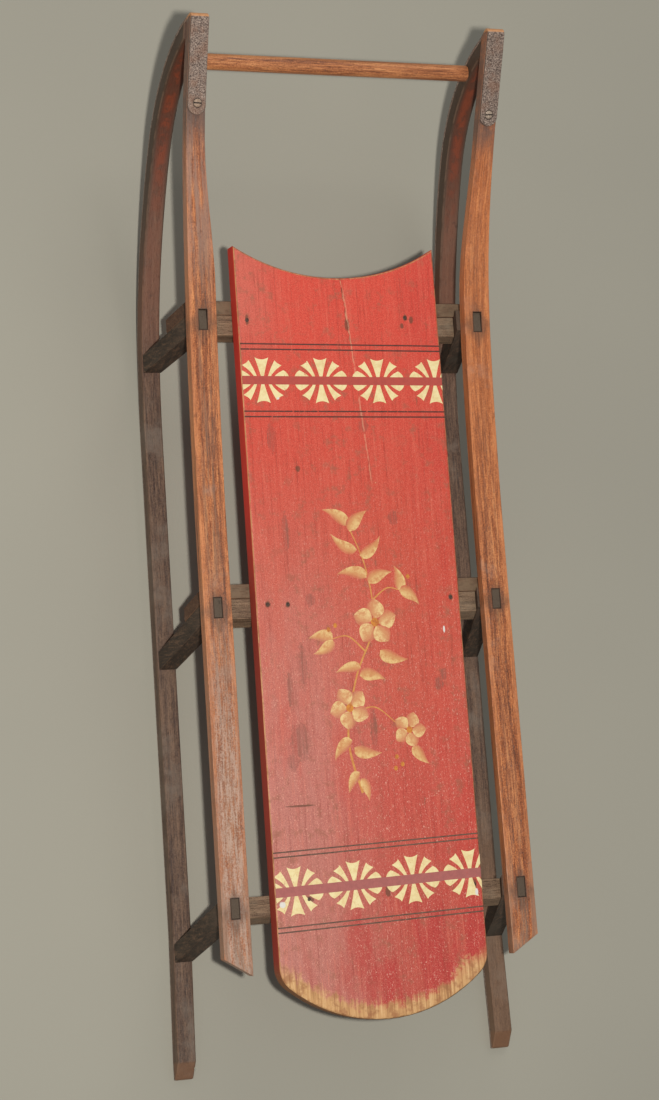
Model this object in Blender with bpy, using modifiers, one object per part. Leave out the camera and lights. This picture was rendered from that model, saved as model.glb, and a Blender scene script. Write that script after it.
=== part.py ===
"""Antique child's wooden sled: a painted deck board on three benches, side rails and bent runners.

The sled stands on its runners, +Z up, +Y towards the upturned tips, +X to its own right.
The origin is the middle of the floor area that it covers. All lengths are in metres.
"""

import math

import bpy
import bmesh
from mathutils import Vector

# Fits
GAP = 0.0003
TENON_CLEARANCE = 0.0003

# Whole sled
LENGTH = 1.100
TIP_Y = LENGTH / 2
TAIL_Y = -LENGTH / 2

# Iron shoe: one strip under the runner, round the tip and back over the rail
SHOE_THICKNESS = 0.003
SHOE_WIDTH = 0.0195
STRAP_LENGTH = 0.0985
STRAP_WIDTH = 0.0197

# Steam-bent runner, given by its upper face
RUNNER_THICKNESS = 0.015
RUNNER_WIDTH = 0.0205
RUNNER_BOTTOM = SHOE_THICKNESS + GAP
RUNNER_TOP = RUNNER_BOTTOM + RUNNER_THICKNESS
LONG_BEND_RADIUS = 0.683
TIGHT_BEND_RADIUS = 0.174
TIP_ANGLE = math.radians(75)
RUNNER_STRAIGHT_TIP = 0.0015
TAIL_BEVEL_LENGTH = 0.019
TAIL_BEVEL_REST = 0.003
RUNNER_SPREAD_TAIL = 0.1864
RUNNER_SPREAD_REAR = 0.1822
RUNNER_SPREAD_MIDDLE = 0.1792
RUNNER_SPREAD_FRONT = 0.1778
RUNNER_SPREAD_TIP = 0.1722

# Benches, by the middle of the cross bar's top, from tail to tip
BENCH_NAMES = ("rear", "middle", "front")
REAR_BENCH_FROM_TAIL = 0.1775
MIDDLE_BENCH_FROM_FRONT = 0.3035
FRONT_BENCH_FROM_TIP = 0.3075
BENCH_Y = {
    "rear": TAIL_Y + REAR_BENCH_FROM_TAIL,
    "middle": TIP_Y - FRONT_BENCH_FROM_TIP - MIDDLE_BENCH_FROM_FRONT,
    "front": TIP_Y - FRONT_BENCH_FROM_TIP,
}
BENCH_RAKE = {"rear": 0.044, "middle": 0.044, "front": 0.025}
BRACED_BENCHES = ("middle", "front")
BAR_TOP = 0.1155
BAR_DEPTH = 0.0215
BAR_HEIGHT = 0.018
BRACE_DEPTH = 0.0152
BRACE_HEIGHT = 0.042
LEG_TOP_WIDTH = 0.022
LEG_FOOT_WIDTH = 0.0198
LEG_FOOT_DEPTH = 0.0195
LEG_TOP_INSET = 0.0040

# Side rail, given by its upper face
RAIL_THICKNESS = 0.012
RAIL_WIDTH = 0.0303
RAIL_TIP_WIDTH = 0.0205
RAIL_TOP = 0.135
RAIL_LONG_BEND_RADIUS = 3.15
RAIL_LONG_BEND_ANGLE = math.radians(4)
RAIL_BEND_RADIUS = 0.949
RAIL_TIP_PITCH = math.radians(20.6)
RAIL_STRAIGHT_TIP = 0.061
RAIL_TAIL_OVERHANG = 0.051
RAIL_TAIL_SKEW = 0.019
RAIL_TAIL_OUTER_Y = BENCH_Y["rear"] - RAIL_TAIL_OVERHANG
RAIL_TAIL_INNER_Y = RAIL_TAIL_OUTER_Y - RAIL_TAIL_SKEW
RAIL_OUTER_TAIL = 0.1793
RAIL_OUTER_MIDDLE = 0.1760
RAIL_OUTER_FRONT = 0.1746
RAIL_OUTER_TIP = 0.1803
RAIL_TAPER_FROM_BENCH = 0.0275
RAIL_TAPER_START = BENCH_Y["front"] + RAIL_TAPER_FROM_BENCH
RAIL_TAPER_LENGTH = 0.165
NOSE_RADIUS = 0.0025

# Joints between the pieces
RAIL_TENON = (0.0086, 0.0205)
FOOT_TENON = (0.0090, 0.0110, 0.0070)
BAR_TENON = (0.0090, 0.0110, 0.0100)

# Front dowel bar
DOWEL_DIAMETER = 0.0175
DOWEL_STUB_DIAMETER = 0.009
DOWEL_STUB_LENGTH = 0.008
DOWEL_BEND_SHARE = 0.72

# Deck board
DECK_WIDTH_FRONT = 0.2335
DECK_WIDTH_REAR = 0.2388
DECK_THICKNESS = 0.018
DECK_FRONT_OVERHANG = 0.0825
DECK_FRONT_Y = BENCH_Y["front"] + DECK_FRONT_OVERHANG
DECK_HOLLOW = 0.0335
DECK_REAR_OVERHANG = 0.1265
DECK_REAR_Y = BENCH_Y["rear"] - DECK_REAR_OVERHANG
DECK_REAR_RADIUS = 0.170
DECK_CORNER_RADIUS = 0.030
DECK_EDGE = 0.002

# Fineness of the round stretches
LONG_BEND_STEPS = 14
TIGHT_BEND_STEPS = 10
RAIL_LONG_BEND_STEPS = 5
RAIL_BEND_STEPS = 12
STRAIGHT_STEPS = 10
NOSE_STEPS = 6
STRAP_STEPS = 5
STRAP_ROUND_STEPS = 7
ROUND_SIDES = 24
EDGE_CHAMFER = 0.0012

# Finishes: base colour, roughness, metallic
FINISHES = {
    "deck_red": ((0.62, 0.13, 0.09), 0.55, 0.0),
    "rail_wood": ((0.42, 0.22, 0.11), 0.60, 0.0),
    "runner_wood": ((0.20, 0.13, 0.09), 0.70, 0.0),
    "bench_wood": ((0.24, 0.17, 0.11), 0.75, 0.0),
    "shoe_iron": ((0.16, 0.13, 0.11), 0.65, 0.8),
}


def clear_scene():
    for item in list(bpy.data.objects):
        bpy.data.objects.remove(item)


def new_collection(name):
    group = bpy.data.collections.new(name)
    bpy.context.scene.collection.children.link(group)
    return group


def new_material(name):
    colour, roughness, metallic = FINISHES[name]
    material = bpy.data.materials.new(name)
    material.use_nodes = True
    shader = material.node_tree.nodes["Principled BSDF"]
    shader.inputs["Base Color"].default_value = (*colour, 1.0)
    shader.inputs["Roughness"].default_value = roughness
    shader.inputs["Metallic"].default_value = metallic
    material.diffuse_color = (*colour, 1.0)
    return material


def ease(y, stations):
    """Value at y from (y, value) stations, eased in and out between each two."""
    if y <= stations[0][0]:
        return stations[0][1]
    for (y0, v0), (y1, v1) in zip(stations, stations[1:]):
        if y <= y1:
            share = (y - y0) / (y1 - y0)
            share = share * share * (3 - 2 * share)
            return v0 + (v1 - v0) * share
    return stations[-1][1]


def line_meet(point, direction, other, along):
    """Point where two lines of the side view meet."""
    cross = direction.x * along.y - direction.y * along.x
    step = other - point
    return point + direction * ((step.x * along.y - step.y * along.x) / cross)


def heading(angle):
    """Direction in the side view (Y, Z) at an angle above the floor."""
    return Vector((math.cos(angle), math.sin(angle)))


def upward(angle):
    """Direction at right angles to a heading, on its upper side."""
    return Vector((-math.sin(angle), math.cos(angle)))


class SideCurve:
    """Line in the side view made of straights and arcs, each point with its angle."""

    def __init__(self, start, angle):
        self.points = [(start.copy(), angle)]

    @property
    def end(self):
        return self.points[-1]

    def straight(self, length, steps):
        start, angle = self.end
        for step in range(1, steps + 1):
            self.points.append((start + heading(angle) * length * step / steps, angle))

    def bend(self, radius, to_angle, steps):
        start, angle = self.end
        centre = start + upward(angle) * radius
        for step in range(1, steps + 1):
            here = angle + (to_angle - angle) * step / steps
            self.points.append((centre - upward(here) * radius, here))


def new_object(name, mesh, material, group):
    item = bpy.data.objects.new(name, mesh)
    group.objects.link(item)
    if material:
        mesh.materials.append(material)
    return item


def loft(name, rings, material, group):
    """Closed body through rings of four corners, capped at both ends."""
    shape = bmesh.new()
    loops = [[shape.verts.new(corner) for corner in ring] for ring in rings]
    for first, second in zip(loops, loops[1:]):
        for k in range(4):
            n = (k + 1) % 4
            shape.faces.new((first[k], first[n], second[n], second[k]))
    shape.faces.new(loops[0])
    shape.faces.new(reversed(loops[-1]))
    bmesh.ops.recalc_face_normals(shape, faces=shape.faces)
    mesh = bpy.data.meshes.new(name)
    shape.to_mesh(mesh)
    shape.free()
    return new_object(name, mesh, material, group)


def ribbon_ring(upper, lower, inner_x, outer_x, side):
    """Four corners of a strip's section from its two side-view points."""
    return [
        Vector((side * inner_x(upper.x), upper.x, upper.y)),
        Vector((side * outer_x(upper.x), upper.x, upper.y)),
        Vector((side * outer_x(lower.x), lower.x, lower.y)),
        Vector((side * inner_x(lower.x), lower.x, lower.y)),
    ]


def chamfer(item, width=EDGE_CHAMFER):
    edge = item.modifiers.new("edges", "BEVEL")
    edge.width = width
    edge.segments = 1
    edge.limit_method = "ANGLE"
    edge.angle_limit = math.radians(40)


def box_tool(name, centre, size, group):
    mesh = bpy.data.meshes.new(name)
    shape = bmesh.new()
    bmesh.ops.create_cube(shape, size=1.0)
    bmesh.ops.scale(shape, vec=size, verts=shape.verts)
    bmesh.ops.translate(shape, vec=centre, verts=shape.verts)
    shape.to_mesh(mesh)
    shape.free()
    return as_tool(new_object(name, mesh, None, group))


def rod_tool(name, centre, diameter, length, group):
    item = new_object(name, rod_mesh(name, centre, diameter, length), None, group)
    return as_tool(item)


def as_tool(item):
    item.hide_render = True
    item.display_type = "WIRE"
    return item


def rod_mesh(name, centre, diameter, length):
    """Round bar along X."""
    mesh = bpy.data.meshes.new(name)
    shape = bmesh.new()
    bmesh.ops.create_cone(shape, cap_ends=True, segments=ROUND_SIDES,
                          radius1=diameter / 2, radius2=diameter / 2, depth=length)
    for vertex in shape.verts:
        vertex.co = Vector((vertex.co.z, vertex.co.y, -vertex.co.x)) + centre
    shape.to_mesh(mesh)
    shape.free()
    return mesh


def boolean(item, tool, operation):
    step = item.modifiers.new(tool.name, "BOOLEAN")
    step.operation = operation
    step.solver = "EXACT"
    step.object = tool


def grown(size, clearance):
    return Vector([extent + 2 * clearance for extent in size])


def rail_underside():
    """Point and angle of the line under the rail's tip that the runner stops at."""
    corner, pitch = rail_curve().end
    return corner - upward(pitch) * (RAIL_THICKNESS + GAP), pitch


def runner_bend_end():
    """End of the bends of the runner's upper face, just below the rail."""
    corner, _ = rail_curve().end
    face = corner - Vector((RUNNER_THICKNESS / math.sin(TIP_ANGLE), 0.0))
    under, pitch = rail_underside()
    meet = line_meet(face, heading(TIP_ANGLE), under, heading(pitch))
    return meet - heading(TIP_ANGLE) * RUNNER_STRAIGHT_TIP


def long_bend_angle():
    """Angle at which the tight bend takes over, so that both together rise to the rail."""
    rise = runner_bend_end().y - RUNNER_TOP
    flat = LONG_BEND_RADIUS - TIGHT_BEND_RADIUS * math.cos(TIP_ANGLE)
    return math.acos((flat - rise) / (LONG_BEND_RADIUS - TIGHT_BEND_RADIUS))


def runner_curve():
    """Upper face of the runner from the tail, ending where it leans at the tip's angle."""
    turn = long_bend_angle()
    reach = (LONG_BEND_RADIUS * math.sin(turn)
             + TIGHT_BEND_RADIUS * (math.sin(TIP_ANGLE) - math.sin(turn)))
    flat_length = runner_bend_end().x - reach - TAIL_Y
    curve = SideCurve(Vector((TAIL_Y, RUNNER_TOP)), 0.0)
    curve.straight(TAIL_BEVEL_LENGTH, 1)
    curve.straight(flat_length - TAIL_BEVEL_LENGTH, STRAIGHT_STEPS)
    curve.bend(LONG_BEND_RADIUS, turn, LONG_BEND_STEPS)
    curve.bend(TIGHT_BEND_RADIUS, TIP_ANGLE, TIGHT_BEND_STEPS)
    return curve


def rail_curve():
    """Upper face of the rail from the tail to the sharp corner that the nose rounds off."""
    curve = SideCurve(Vector((RAIL_TAIL_OUTER_Y, RAIL_TOP)), 0.0)
    first = math.sin(RAIL_LONG_BEND_ANGLE)
    bend_reach = (RAIL_LONG_BEND_RADIUS * first
                  + RAIL_BEND_RADIUS * (math.sin(RAIL_TIP_PITCH) - first))
    tip_reach = RAIL_STRAIGHT_TIP * math.cos(RAIL_TIP_PITCH)
    level_length = TIP_Y - NOSE_REACH - RAIL_TAIL_OUTER_Y - bend_reach - tip_reach
    curve.straight(level_length, STRAIGHT_STEPS)
    curve.bend(RAIL_LONG_BEND_RADIUS, RAIL_LONG_BEND_ANGLE, RAIL_LONG_BEND_STEPS)
    curve.bend(RAIL_BEND_RADIUS, RAIL_TIP_PITCH, RAIL_BEND_STEPS)
    curve.straight(RAIL_STRAIGHT_TIP, 4)
    return curve


# How far the iron at the nose stands before the rail's sharp corner
NOSE_TURN = math.pi - TIP_ANGLE + RAIL_TIP_PITCH
NOSE_SETBACK = NOSE_RADIUS / math.tan((math.pi - NOSE_TURN) / 2)
NOSE_CENTRE_BACK = (NOSE_SETBACK * math.cos(RAIL_TIP_PITCH)
                    - NOSE_RADIUS * math.sin(RAIL_TIP_PITCH))
NOSE_REACH = NOSE_RADIUS + GAP + SHOE_THICKNESS - NOSE_CENTRE_BACK


def surface_z(curve, y):
    """Height of a side curve at y."""
    for (low, _), (high, _) in zip(curve.points, curve.points[1:]):
        if low.x <= y <= high.x:
            return low.y + (high.y - low.y) * (y - low.x) / (high.x - low.x)
    return curve.points[0][0].y


def runner_spread(y):
    return ease(y, [(TAIL_Y, RUNNER_SPREAD_TAIL), (BENCH_Y["rear"], RUNNER_SPREAD_REAR),
                    (BENCH_Y["middle"], RUNNER_SPREAD_MIDDLE),
                    (BENCH_Y["front"], RUNNER_SPREAD_FRONT), (TIP_Y, RUNNER_SPREAD_TIP)])


def rail_outer(y):
    return ease(y, [(RAIL_TAIL_OUTER_Y, RAIL_OUTER_TAIL), (BENCH_Y["middle"], RAIL_OUTER_MIDDLE),
                    (RAIL_TAPER_START, RAIL_OUTER_FRONT), (TIP_Y, RAIL_OUTER_TIP)])


def rail_inner(y):
    width = ease(y, [(RAIL_TAPER_START, RAIL_WIDTH),
                     (RAIL_TAPER_START + RAIL_TAPER_LENGTH, RAIL_TIP_WIDTH)])
    return rail_outer(y) - width


def rail_middle(y):
    return (rail_outer(y) + rail_inner(y)) / 2


def nose_arc(radius):
    """Points round the nose at a radius from its centre, from rail top to front face."""
    corner, pitch = rail_curve().end
    centre = corner - heading(pitch) * NOSE_SETBACK - upward(pitch) * NOSE_RADIUS
    points = []
    for step in range(NOSE_STEPS + 1):
        angle = pitch + math.pi / 2 - NOSE_TURN * step / NOSE_STEPS
        points.append((centre + heading(angle) * radius, angle))
    return points


def build_rail(side, label, wood, group):
    curve = rail_curve()
    corner, pitch = curve.end
    rings = []
    drop = RAIL_THICKNESS
    tail_inner = RAIL_TAIL_INNER_Y
    rings.append([
        Vector((side * rail_inner(tail_inner), tail_inner, RAIL_TOP)),
        Vector((side * rail_outer(RAIL_TAIL_OUTER_Y), RAIL_TAIL_OUTER_Y, RAIL_TOP)),
        Vector((side * rail_outer(RAIL_TAIL_OUTER_Y), RAIL_TAIL_OUTER_Y, RAIL_TOP - drop)),
        Vector((side * rail_inner(tail_inner), tail_inner, RAIL_TOP - drop)),
    ])
    for point, angle in curve.points[1:-1]:
        rings.append(ribbon_ring(point, point - upward(angle) * drop, rail_inner, rail_outer, side))
    under = corner - upward(pitch) * drop
    foot = line_meet(under, heading(pitch), corner, heading(TIP_ANGLE))
    last_under = curve.points[-2][0] - upward(pitch) * drop
    arc = nose_arc(NOSE_RADIUS)
    for step, (point, _) in enumerate(arc):
        below = last_under.lerp(foot, (step + 1) / len(arc))
        rings.append(ribbon_ring(point, below, rail_inner, rail_outer, side))
    rail = loft("rail_" + label, rings, wood, group)
    chamfer(rail)
    return rail


def runner_inner(y):
    return runner_spread(y) - RUNNER_WIDTH / 2


def runner_outer(y):
    return runner_spread(y) + RUNNER_WIDTH / 2


def build_runner(side, label, wood, group):
    curve = runner_curve()
    tail, _ = curve.points[0]
    rest = Vector((tail.x, RUNNER_BOTTOM + TAIL_BEVEL_REST))
    floor = Vector((tail.x, RUNNER_BOTTOM))
    rings = [ribbon_ring(rest, floor, runner_inner, runner_outer, side)]
    for point, angle in curve.points[1:]:
        lower = point - upward(angle) * RUNNER_THICKNESS
        rings.append(ribbon_ring(point, lower, runner_inner, runner_outer, side))
    under, pitch = rail_underside()
    end, lean = curve.end
    upper = line_meet(end, heading(lean), under, heading(pitch))
    outer = line_meet(end - upward(lean) * RUNNER_THICKNESS, heading(lean), under, heading(pitch))
    rings.append(ribbon_ring(upper, outer, runner_inner, runner_outer, side))
    runner = loft("runner_" + label, rings, wood, group)
    chamfer(runner)
    return runner


def rail_place(back):
    """Point and angle on the rail's upper face, at a length back from its front corner."""
    corner, pitch = rail_curve().end
    if back <= RAIL_STRAIGHT_TIP:
        return corner - heading(pitch) * back, pitch
    bend_end = corner - heading(pitch) * RAIL_STRAIGHT_TIP
    angle = pitch - (back - RAIL_STRAIGHT_TIP) / RAIL_BEND_RADIUS
    centre = bend_end + upward(pitch) * RAIL_BEND_RADIUS
    return centre - upward(angle) * RAIL_BEND_RADIUS, angle


def shoe_half_width(along_strap):
    """Half the strip's width: rounded over its last stretch on the rail."""
    radius = STRAP_WIDTH / 2
    to_end = STRAP_LENGTH - along_strap
    if to_end >= radius:
        return radius
    return max(0.1 * radius, math.sqrt(radius * radius - (radius - to_end) ** 2))


def build_shoe(side, label, iron, group):
    """Iron strip: under the runner, up its front, round the nose and back along the rail."""
    rings = []

    def add(inner_point, outer_point, middle, half):
        rings.append([
            Vector((side * (middle - half), inner_point.x, inner_point.y)),
            Vector((side * (middle + half), inner_point.x, inner_point.y)),
            Vector((side * (middle + half), outer_point.x, outer_point.y)),
            Vector((side * (middle - half), outer_point.x, outer_point.y)),
        ])

    for point, angle in runner_curve().points:
        inner = point - upward(angle) * (RUNNER_THICKNESS + GAP)
        outer = inner - upward(angle) * SHOE_THICKNESS
        add(inner, outer, runner_spread(inner.x), SHOE_WIDTH / 2)
    nose_inner = nose_arc(NOSE_RADIUS + GAP)
    nose_outer = nose_arc(NOSE_RADIUS + GAP + SHOE_THICKNESS)
    for (inner, _), (outer, _) in zip(reversed(nose_inner), reversed(nose_outer)):
        add(inner, outer, rail_middle(inner.x), STRAP_WIDTH / 2)
    radius = STRAP_WIDTH / 2
    even = STRAP_LENGTH - radius
    stretch = [even * step / STRAP_STEPS for step in range(1, STRAP_STEPS + 1)]
    for step in range(1, STRAP_ROUND_STEPS + 1):
        stretch.append(even + radius * math.sin(math.pi / 2 * step / STRAP_ROUND_STEPS))
    for along in stretch:
        point, pitch = rail_place(NOSE_SETBACK + along)
        inner = point + upward(pitch) * GAP
        outer = inner + upward(pitch) * SHOE_THICKNESS
        add(inner, outer, rail_middle(inner.x), shoe_half_width(along))
    return loft("shoe_" + label, rings, iron, group)


class Bench:
    """Places on one bench: raked towards the tail and splayed outwards going down."""

    def __init__(self, name):
        self.name = name
        self.y = BENCH_Y[name]
        self.rake = BENCH_RAKE[name]
        self.foot_y = self.y - self.rake
        self.foot_z = surface_z(runner_curve(), self.foot_y + LEG_FOOT_DEPTH / 2) + GAP
        self.foot_x = runner_spread(self.foot_y)
        self.rail_x = rail_middle(self.y)
        self.top_x = self.rail_x - LEG_TOP_INSET
        self.under_rail = surface_z(rail_curve(), self.y - BAR_DEPTH / 2) - RAIL_THICKNESS - GAP

    def share(self, z):
        """How far up the leg z lies, 0 at the foot and 1 at the bar's top."""
        return (z - self.foot_z) / (BAR_TOP - self.foot_z)

    def front_y(self, z):
        low = self.foot_y + LEG_FOOT_DEPTH / 2
        return low + (self.y + BAR_DEPTH / 2 - low) * self.share(z)

    def back_y(self, z):
        low = self.foot_y - LEG_FOOT_DEPTH / 2
        return low + (self.y - BAR_DEPTH / 2 - low) * self.share(z)

    def outer_x(self, z):
        low = self.foot_x + LEG_FOOT_WIDTH / 2
        return low + (self.top_x + LEG_TOP_WIDTH / 2 - low) * self.share(z)

    def inner_x(self, z):
        low = self.foot_x - LEG_FOOT_WIDTH / 2
        return low + (self.top_x - LEG_TOP_WIDTH / 2 - low) * self.share(z)


def level_ring(x0, x1, y0, y1, z):
    return [Vector((x0, y0, z)), Vector((x1, y0, z)), Vector((x1, y1, z)), Vector((x0, y1, z))]


def build_leg(bench, side, label, wood, group, tools):
    rings = []
    for z in (bench.foot_z, bench.under_rail):
        rings.append(level_ring(side * bench.inner_x(z), side * bench.outer_x(z),
                                bench.back_y(z), bench.front_y(z), z))
    name = "bench_" + bench.name + "_leg_" + label
    leg = loft(name, rings, wood, group)
    tenon_top = bench.under_rail + GAP + RAIL_THICKNESS
    low = bench.under_rail - 0.002
    tenon = box_tool(name + "_tenon", Vector((side * bench.rail_x, bench.y, (low + tenon_top) / 2)),
                     Vector((*RAIL_TENON, tenon_top - low)), tools)
    boolean(leg, tenon, "UNION")
    stub = foot_tenon_box(bench, side, name + "_foot", 0.0, tools)
    boolean(leg, stub, "UNION")
    mortise = bar_tenon_box(bench, side, name + "_mortise", TENON_CLEARANCE, tools)
    boolean(leg, mortise, "DIFFERENCE")
    return leg


def foot_tenon_box(bench, side, name, clearance, tools):
    width, depth, length = FOOT_TENON
    top = bench.foot_z + 0.002
    bottom = bench.foot_z - GAP - length - clearance
    centre = Vector((side * bench.foot_x, bench.foot_y, (top + bottom) / 2))
    size = Vector((width + 2 * clearance, depth + 2 * clearance, top - bottom))
    return box_tool(name, centre, size, tools)


def bar_tenon_box(bench, side, name, clearance, tools):
    """End tenon of the cross bar, reaching into the leg, or the room for it."""
    length, depth, height = BAR_TENON
    z = BAR_TOP - BAR_HEIGHT / 2
    face = bench.inner_x(z)
    inside = face - BAR_HEIGHT / 2
    outside = face + length + clearance
    y = (bench.front_y(z) + bench.back_y(z)) / 2
    centre = Vector((side * (inside + outside) / 2, y, z))
    size = Vector((outside - inside, depth + 2 * clearance, height + 2 * clearance))
    return box_tool(name, centre, size, tools)


def build_bar(bench, wood, group, tools):
    rings = []
    for z in (BAR_TOP - BAR_HEIGHT, BAR_TOP):
        end = bench.inner_x(z) - GAP
        rings.append(level_ring(-end, end, bench.back_y(z), bench.front_y(z), z))
    name = "bench_" + bench.name + "_bar"
    bar = loft(name, rings, wood, group)
    for side, label in ((-1, "left"), (1, "right")):
        tenon = bar_tenon_box(bench, side, name + "_tenon_" + label, 0.0, tools)
        boolean(bar, tenon, "UNION")
    return bar


def build_brace(bench, wood, group):
    """Board along the bench's front side, its ends cut to the legs' slope."""
    rings = []
    for z in (BAR_TOP - BRACE_HEIGHT, BAR_TOP):
        end = bench.outer_x(z)
        back = bench.front_y(z) + GAP
        rings.append(level_ring(-end, end, back, back + BRACE_DEPTH, z))
    return loft("bench_" + bench.name + "_brace", rings, wood, group)


def dowel_centre():
    """Middle of the runner's thickness, part of the way round its tight bend."""
    curve = runner_curve()
    bend_start, turn = curve.points[-1 - TIGHT_BEND_STEPS]
    angle = turn + (TIP_ANGLE - turn) * DOWEL_BEND_SHARE
    centre = bend_start + upward(turn) * TIGHT_BEND_RADIUS
    return centre - upward(angle) * (TIGHT_BEND_RADIUS + RUNNER_THICKNESS / 2)


def build_dowel(wood, group, tools):
    spot = dowel_centre()
    centre = Vector((0.0, spot.x, spot.y))
    half = runner_inner(spot.x + DOWEL_DIAMETER / 2) - GAP
    mesh = rod_mesh("front_dowel", centre, DOWEL_DIAMETER, 2 * half)
    dowel = new_object("front_dowel", mesh, wood, group)
    reach = 2 * (runner_inner(spot.x) + DOWEL_STUB_LENGTH)
    stub = rod_tool("front_dowel_stubs", centre, DOWEL_STUB_DIAMETER, reach, tools)
    boolean(dowel, stub, "UNION")
    hole_reach = reach + 2 * TENON_CLEARANCE
    hole_diameter = DOWEL_STUB_DIAMETER + 2 * TENON_CLEARANCE
    return rod_tool("front_dowel_holes", centre, hole_diameter, hole_reach, tools)


def deck_outline():
    """Corner points of the deck from above, with arcs at the hollow front and round tail."""
    half = DECK_WIDTH_FRONT / 2
    points = []
    front_radius = (half * half + DECK_HOLLOW * DECK_HOLLOW) / (2 * DECK_HOLLOW)
    front_centre = DECK_FRONT_Y - DECK_HOLLOW + front_radius
    front_turn = math.asin(half / front_radius)
    front_steps = 24
    for step in range(front_steps + 1):
        turn = -front_turn + 2 * front_turn * step / front_steps
        points.append((front_radius * math.sin(turn), front_centre - front_radius * math.cos(turn)))
    rear_centre = DECK_REAR_Y + DECK_REAR_RADIUS
    corner_x = DECK_WIDTH_REAR / 2 - DECK_CORNER_RADIUS
    reach = DECK_REAR_RADIUS - DECK_CORNER_RADIUS
    rear_turn = math.asin(corner_x / reach)
    corner_y = rear_centre - reach * math.cos(rear_turn)
    corner_steps = 8
    for step in range(corner_steps + 1):
        turn = (math.pi / 2 - rear_turn) * step / corner_steps
        points.append((corner_x + DECK_CORNER_RADIUS * math.cos(turn),
                       corner_y - DECK_CORNER_RADIUS * math.sin(turn)))
    rear_steps = 20
    for step in range(1, rear_steps):
        turn = rear_turn - 2 * rear_turn * step / rear_steps
        points.append((DECK_REAR_RADIUS * math.sin(turn),
                       rear_centre - DECK_REAR_RADIUS * math.cos(turn)))
    for step in range(corner_steps + 1):
        turn = (math.pi / 2 - rear_turn) * (1 - step / corner_steps)
        points.append((-corner_x - DECK_CORNER_RADIUS * math.cos(turn),
                       corner_y - DECK_CORNER_RADIUS * math.sin(turn)))
    return points


def build_deck(paint, group):
    outline = deck_outline()
    curve = bpy.data.curves.new("deck_board", "CURVE")
    curve.dimensions = "2D"
    curve.fill_mode = "BOTH"
    curve.extrude = DECK_THICKNESS / 2 - DECK_EDGE
    curve.bevel_depth = DECK_EDGE
    curve.bevel_resolution = 1
    curve.offset = -DECK_EDGE
    spline = curve.splines.new("POLY")
    spline.points.add(len(outline) - 1)
    for point, (x, y) in zip(spline.points, outline):
        point.co = (x, y, 0.0, 1.0)
    spline.use_cyclic_u = True
    deck = new_object("deck_board", curve, paint, group)
    deck.location.z = BAR_TOP + GAP + DECK_THICKNESS / 2
    return deck


def main():
    clear_scene()
    sled = new_collection("wooden_sled")
    tools = new_collection("cutters")
    finish = {name: new_material(name) for name in FINISHES}

    build_deck(finish["deck_red"], sled)
    dowel_holes = build_dowel(finish["runner_wood"], sled, tools)
    benches = [Bench(name) for name in BENCH_NAMES]
    for bench in benches:
        build_bar(bench, finish["bench_wood"], sled, tools)
        if bench.name in BRACED_BENCHES:
            build_brace(bench, finish["bench_wood"], sled)
    for side, label in ((-1, "left"), (1, "right")):
        rail = build_rail(side, label, finish["rail_wood"], sled)
        runner = build_runner(side, label, finish["runner_wood"], sled)
        build_shoe(side, label, finish["shoe_iron"], sled)
        boolean(runner, dowel_holes, "DIFFERENCE")
        for bench in benches:
            build_leg(bench, side, label, finish["bench_wood"], sled, tools)
            place = "bench_" + bench.name + "_" + label
            slot_centre = Vector((side * bench.rail_x, bench.y, bench.under_rail))
            slot_size = grown((*RAIL_TENON, 4 * RAIL_THICKNESS), TENON_CLEARANCE)
            boolean(rail, box_tool(place + "_rail_slot", slot_centre, slot_size, tools), "DIFFERENCE")
            pocket = foot_tenon_box(bench, side, place + "_pocket", TENON_CLEARANCE, tools)
            boolean(runner, pocket, "DIFFERENCE")
    tools.hide_render = True


main()
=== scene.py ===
"""Looks of an antique child's wooden sled: worn wood, red paint, ornament, iron, floor, light, camera."""

import math
from types import SimpleNamespace

import bmesh
import bpy
from mathutils import Matrix, Vector, noise
from mathutils.bvhtree import BVHTree


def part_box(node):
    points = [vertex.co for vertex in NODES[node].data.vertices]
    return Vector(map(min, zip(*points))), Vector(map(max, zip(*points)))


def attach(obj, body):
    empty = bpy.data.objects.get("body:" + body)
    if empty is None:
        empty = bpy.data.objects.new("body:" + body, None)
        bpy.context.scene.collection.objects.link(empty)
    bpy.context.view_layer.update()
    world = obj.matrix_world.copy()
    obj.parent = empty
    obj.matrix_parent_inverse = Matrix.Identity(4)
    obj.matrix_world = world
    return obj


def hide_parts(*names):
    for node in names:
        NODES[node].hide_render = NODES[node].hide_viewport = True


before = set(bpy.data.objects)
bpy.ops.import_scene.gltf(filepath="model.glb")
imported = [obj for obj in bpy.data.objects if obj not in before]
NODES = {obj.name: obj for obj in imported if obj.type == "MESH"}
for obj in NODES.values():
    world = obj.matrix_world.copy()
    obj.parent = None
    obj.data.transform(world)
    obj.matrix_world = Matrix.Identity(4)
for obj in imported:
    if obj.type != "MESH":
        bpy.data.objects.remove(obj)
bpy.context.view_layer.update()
BODY = "root"
BENCHES = ("rear", "middle", "front")
SIDES = (("left", -1), ("right", 1))
MM = 0.001

# Camera of the photograph, in the sled's frame
CAMERA_PLACE = Vector((-1.1740, -0.3302, 2.8569))
CAMERA_FORWARD = Vector((0.384884, 0.109967, -0.916391))
CAMERA_ROLL = math.radians(-4.08)
SENSOR = 36.0
FOCAL_PIXELS = 2800.0
PHOTO_HEIGHT = 1100.0

CLIP_END = 50

# Lamps: place, aim, width, power and colour
LAMPS = {
    "key": ((-0.945, -0.33, 2.85), (0, 0, 0), 0.09, 59, (1.0, 0.97, 0.92)),
    "top_fill": ((0.6, 2.3, 2.0), (0.0, 0.5, 0), 1.4, 14, (1.0, 0.97, 0.93)),
}
WORLD_COLOUR = (0.20, 0.205, 0.21, 1)
FLOOR_REACH = 6

# How bright a white sheet facing up comes out
LIGHT_LEVEL = 0.92

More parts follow.
